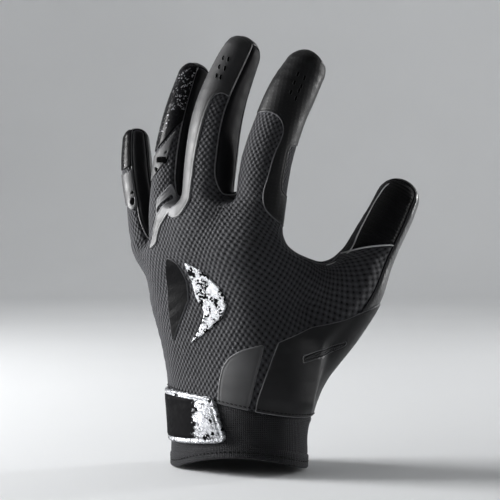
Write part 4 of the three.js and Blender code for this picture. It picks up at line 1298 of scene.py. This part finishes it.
vents("index_vents", INDEX_VENTS)
vents("middle_vents", MIDDLE_VENTS)
P, N = traced(THUMB_EDGE)
# The piping along the thumb's edge carries a painted highlight in its colour.
new_mesh("thumb_edge_piping", *sweep(P + N * 0.15, N, 0.42), PIPING_PAINTED_HIGHLIGHT, "thumb_rib")
strip = shares_of(THUMB_EDGE[2:])
strip += [(x - 0.04, z + 0.02) for x, z in strip[::-1]]
film("thumb_edge_mesh", panel["thumb_panel"] & (fine_kind == BACK), strip, [], DARK_MESH, "thumb_rib", [], thick=0.3,
     edge=0.2)


def tab_relief(P, d):
    """A welded border round a flat field."""
    return 0.25 * ramp(d, 2.9, 3.6) - 0.3 * np.exp(-((d - 2.4) / 0.4) ** 2) + 0.15 * wave(P, 14, 7) * ramp(d, 0, 3)


film("pull_tab", (j <= CUFF_ROWS) & (i <= 13), O["strap"], [], STRAP, "foil", ["strap_tab"], low=0.35, thick=1.8,
     edge=0.9, deep=26.0, relief=tab_relief)
film("emblem_gloss", back_in(0, 16, 5, 15), O["emblemDark"], [], EMBLEM, "gloss_film", ["emblem_dark"], thick=0.9,
     edge=0.6)
film("emblem_foil", back_in(0, 16, 5, 15), O["emblemLight"], [], FOIL, "foil", ["emblem_light"], thick=0.9,
     edge=0.6)


# ---- Stage, light and camera ----

pale = Look("pale studio paper", Roughness=0.8)
pale.set("Base Color", pale.mix(pale.noise(pale.where(), 3.0), (0.62, 0.63, 0.64), (0.66, 0.67, 0.68)))
FLOOR, FLAT, CURVE, WALL_TOP, SIDES = -0.0006, 2.4, 1.4, 4.5, 64
profile = [(0.6, FLOOR), (1.6, FLOOR), (FLAT, FLOOR)]
bend = np.linspace(0.1, math.pi / 2, 12)
profile += [(FLAT + CURVE * math.sin(t), FLOOR + CURVE * (1 - math.cos(t))) for t in bend]
profile += [(FLAT + CURVE, WALL_TOP)]
turns = [2 * math.pi * k / SIDES for k in range(SIDES)]
verts = [(0, 0, FLOOR)] + [(r * math.cos(t), r * math.sin(t), z) for r, z in profile for t in turns]
rings = [[1 + SIDES * n + k % SIDES for k in range(SIDES + 1)] for n in range(len(profile))]
faces = [(0, rings[0][k], rings[0][k + 1]) for k in range(SIDES)]
faces += [(a[k], b[k], b[k + 1], a[k + 1]) for a, b in zip(rings, rings[1:]) for k in range(SIDES)]
me = bpy.data.meshes.new("studio_sweep")
me.from_pydata(verts, [], faces)
me.polygons.foreach_set("use_smooth", [True] * len(me.polygons))
me.materials.append(pale.material)
ob = bpy.data.objects.new("studio_sweep", me)
bpy.context.collection.objects.link(ob)


# Area lights: place, aim, size and power
LIGHTS = {
    "left_rim": ((-1.3, 0.22, 0.42), (0, 0, 0.14), (0.5, 1.0), 52),
    "left_front": ((-1.1, -0.5, 0.8), (0, 0, 0.14), (0.5, 0.5), 1.6),
    "right_rim": ((1.2, 0.6, 0.26), (0.08, 0, 0.12), (0.14, 0.7), 11),
    "top": ((0, 0.3, 1.6), (0, 0.1, 0.0), (1.0, 0.6), 1.5),
    "backdrop": ((0, 1.1, 2.2), (0, 3.6, 0.8), (2.5, 0.8), 34),
    "wall_left": ((-1.1, 0, 2.2), (-3.6, 0, 0.8), (0.8, 2.5), 16),
    "wall_right": ((1.1, 0, 2.2), (3.6, 0, 0.8), (0.8, 2.5), 5),
}
for name, (at, to, size, power) in LIGHTS.items():
    light = bpy.data.lights.new(name, "AREA")
    light.shape = "RECTANGLE"
    light.size, light.size_y = size
    light.energy = power
    lamp = bpy.data.objects.new(name, light)
    lamp.location = at
    lamp.rotation_euler = (Vector(to) - Vector(at)).to_track_quat("-Z", "Y").to_euler()
    bpy.context.collection.objects.link(lamp)
world = bpy.data.worlds.new("studio")
world.use_nodes = True
world.node_tree.nodes["Background"].inputs[0].default_value = (0.9, 0.93, 0.96, 1)
world.node_tree.nodes["Background"].inputs[1].default_value = 0.02
bpy.context.scene.world = world
bpy.context.scene.view_settings.view_transform = "Standard"

camera = bpy.data.cameras.new("camera")
camera.lens, camera.sensor_width = LENS, SENSOR
camera.clip_start = 0.01
eye = bpy.data.objects.new("camera", camera)
eye.location = [v * MM for v in EYE]
eye.rotation_euler = (math.radians(90), 0, 0)
bpy.context.collection.objects.link(eye)
bpy.context.scene.camera = eye
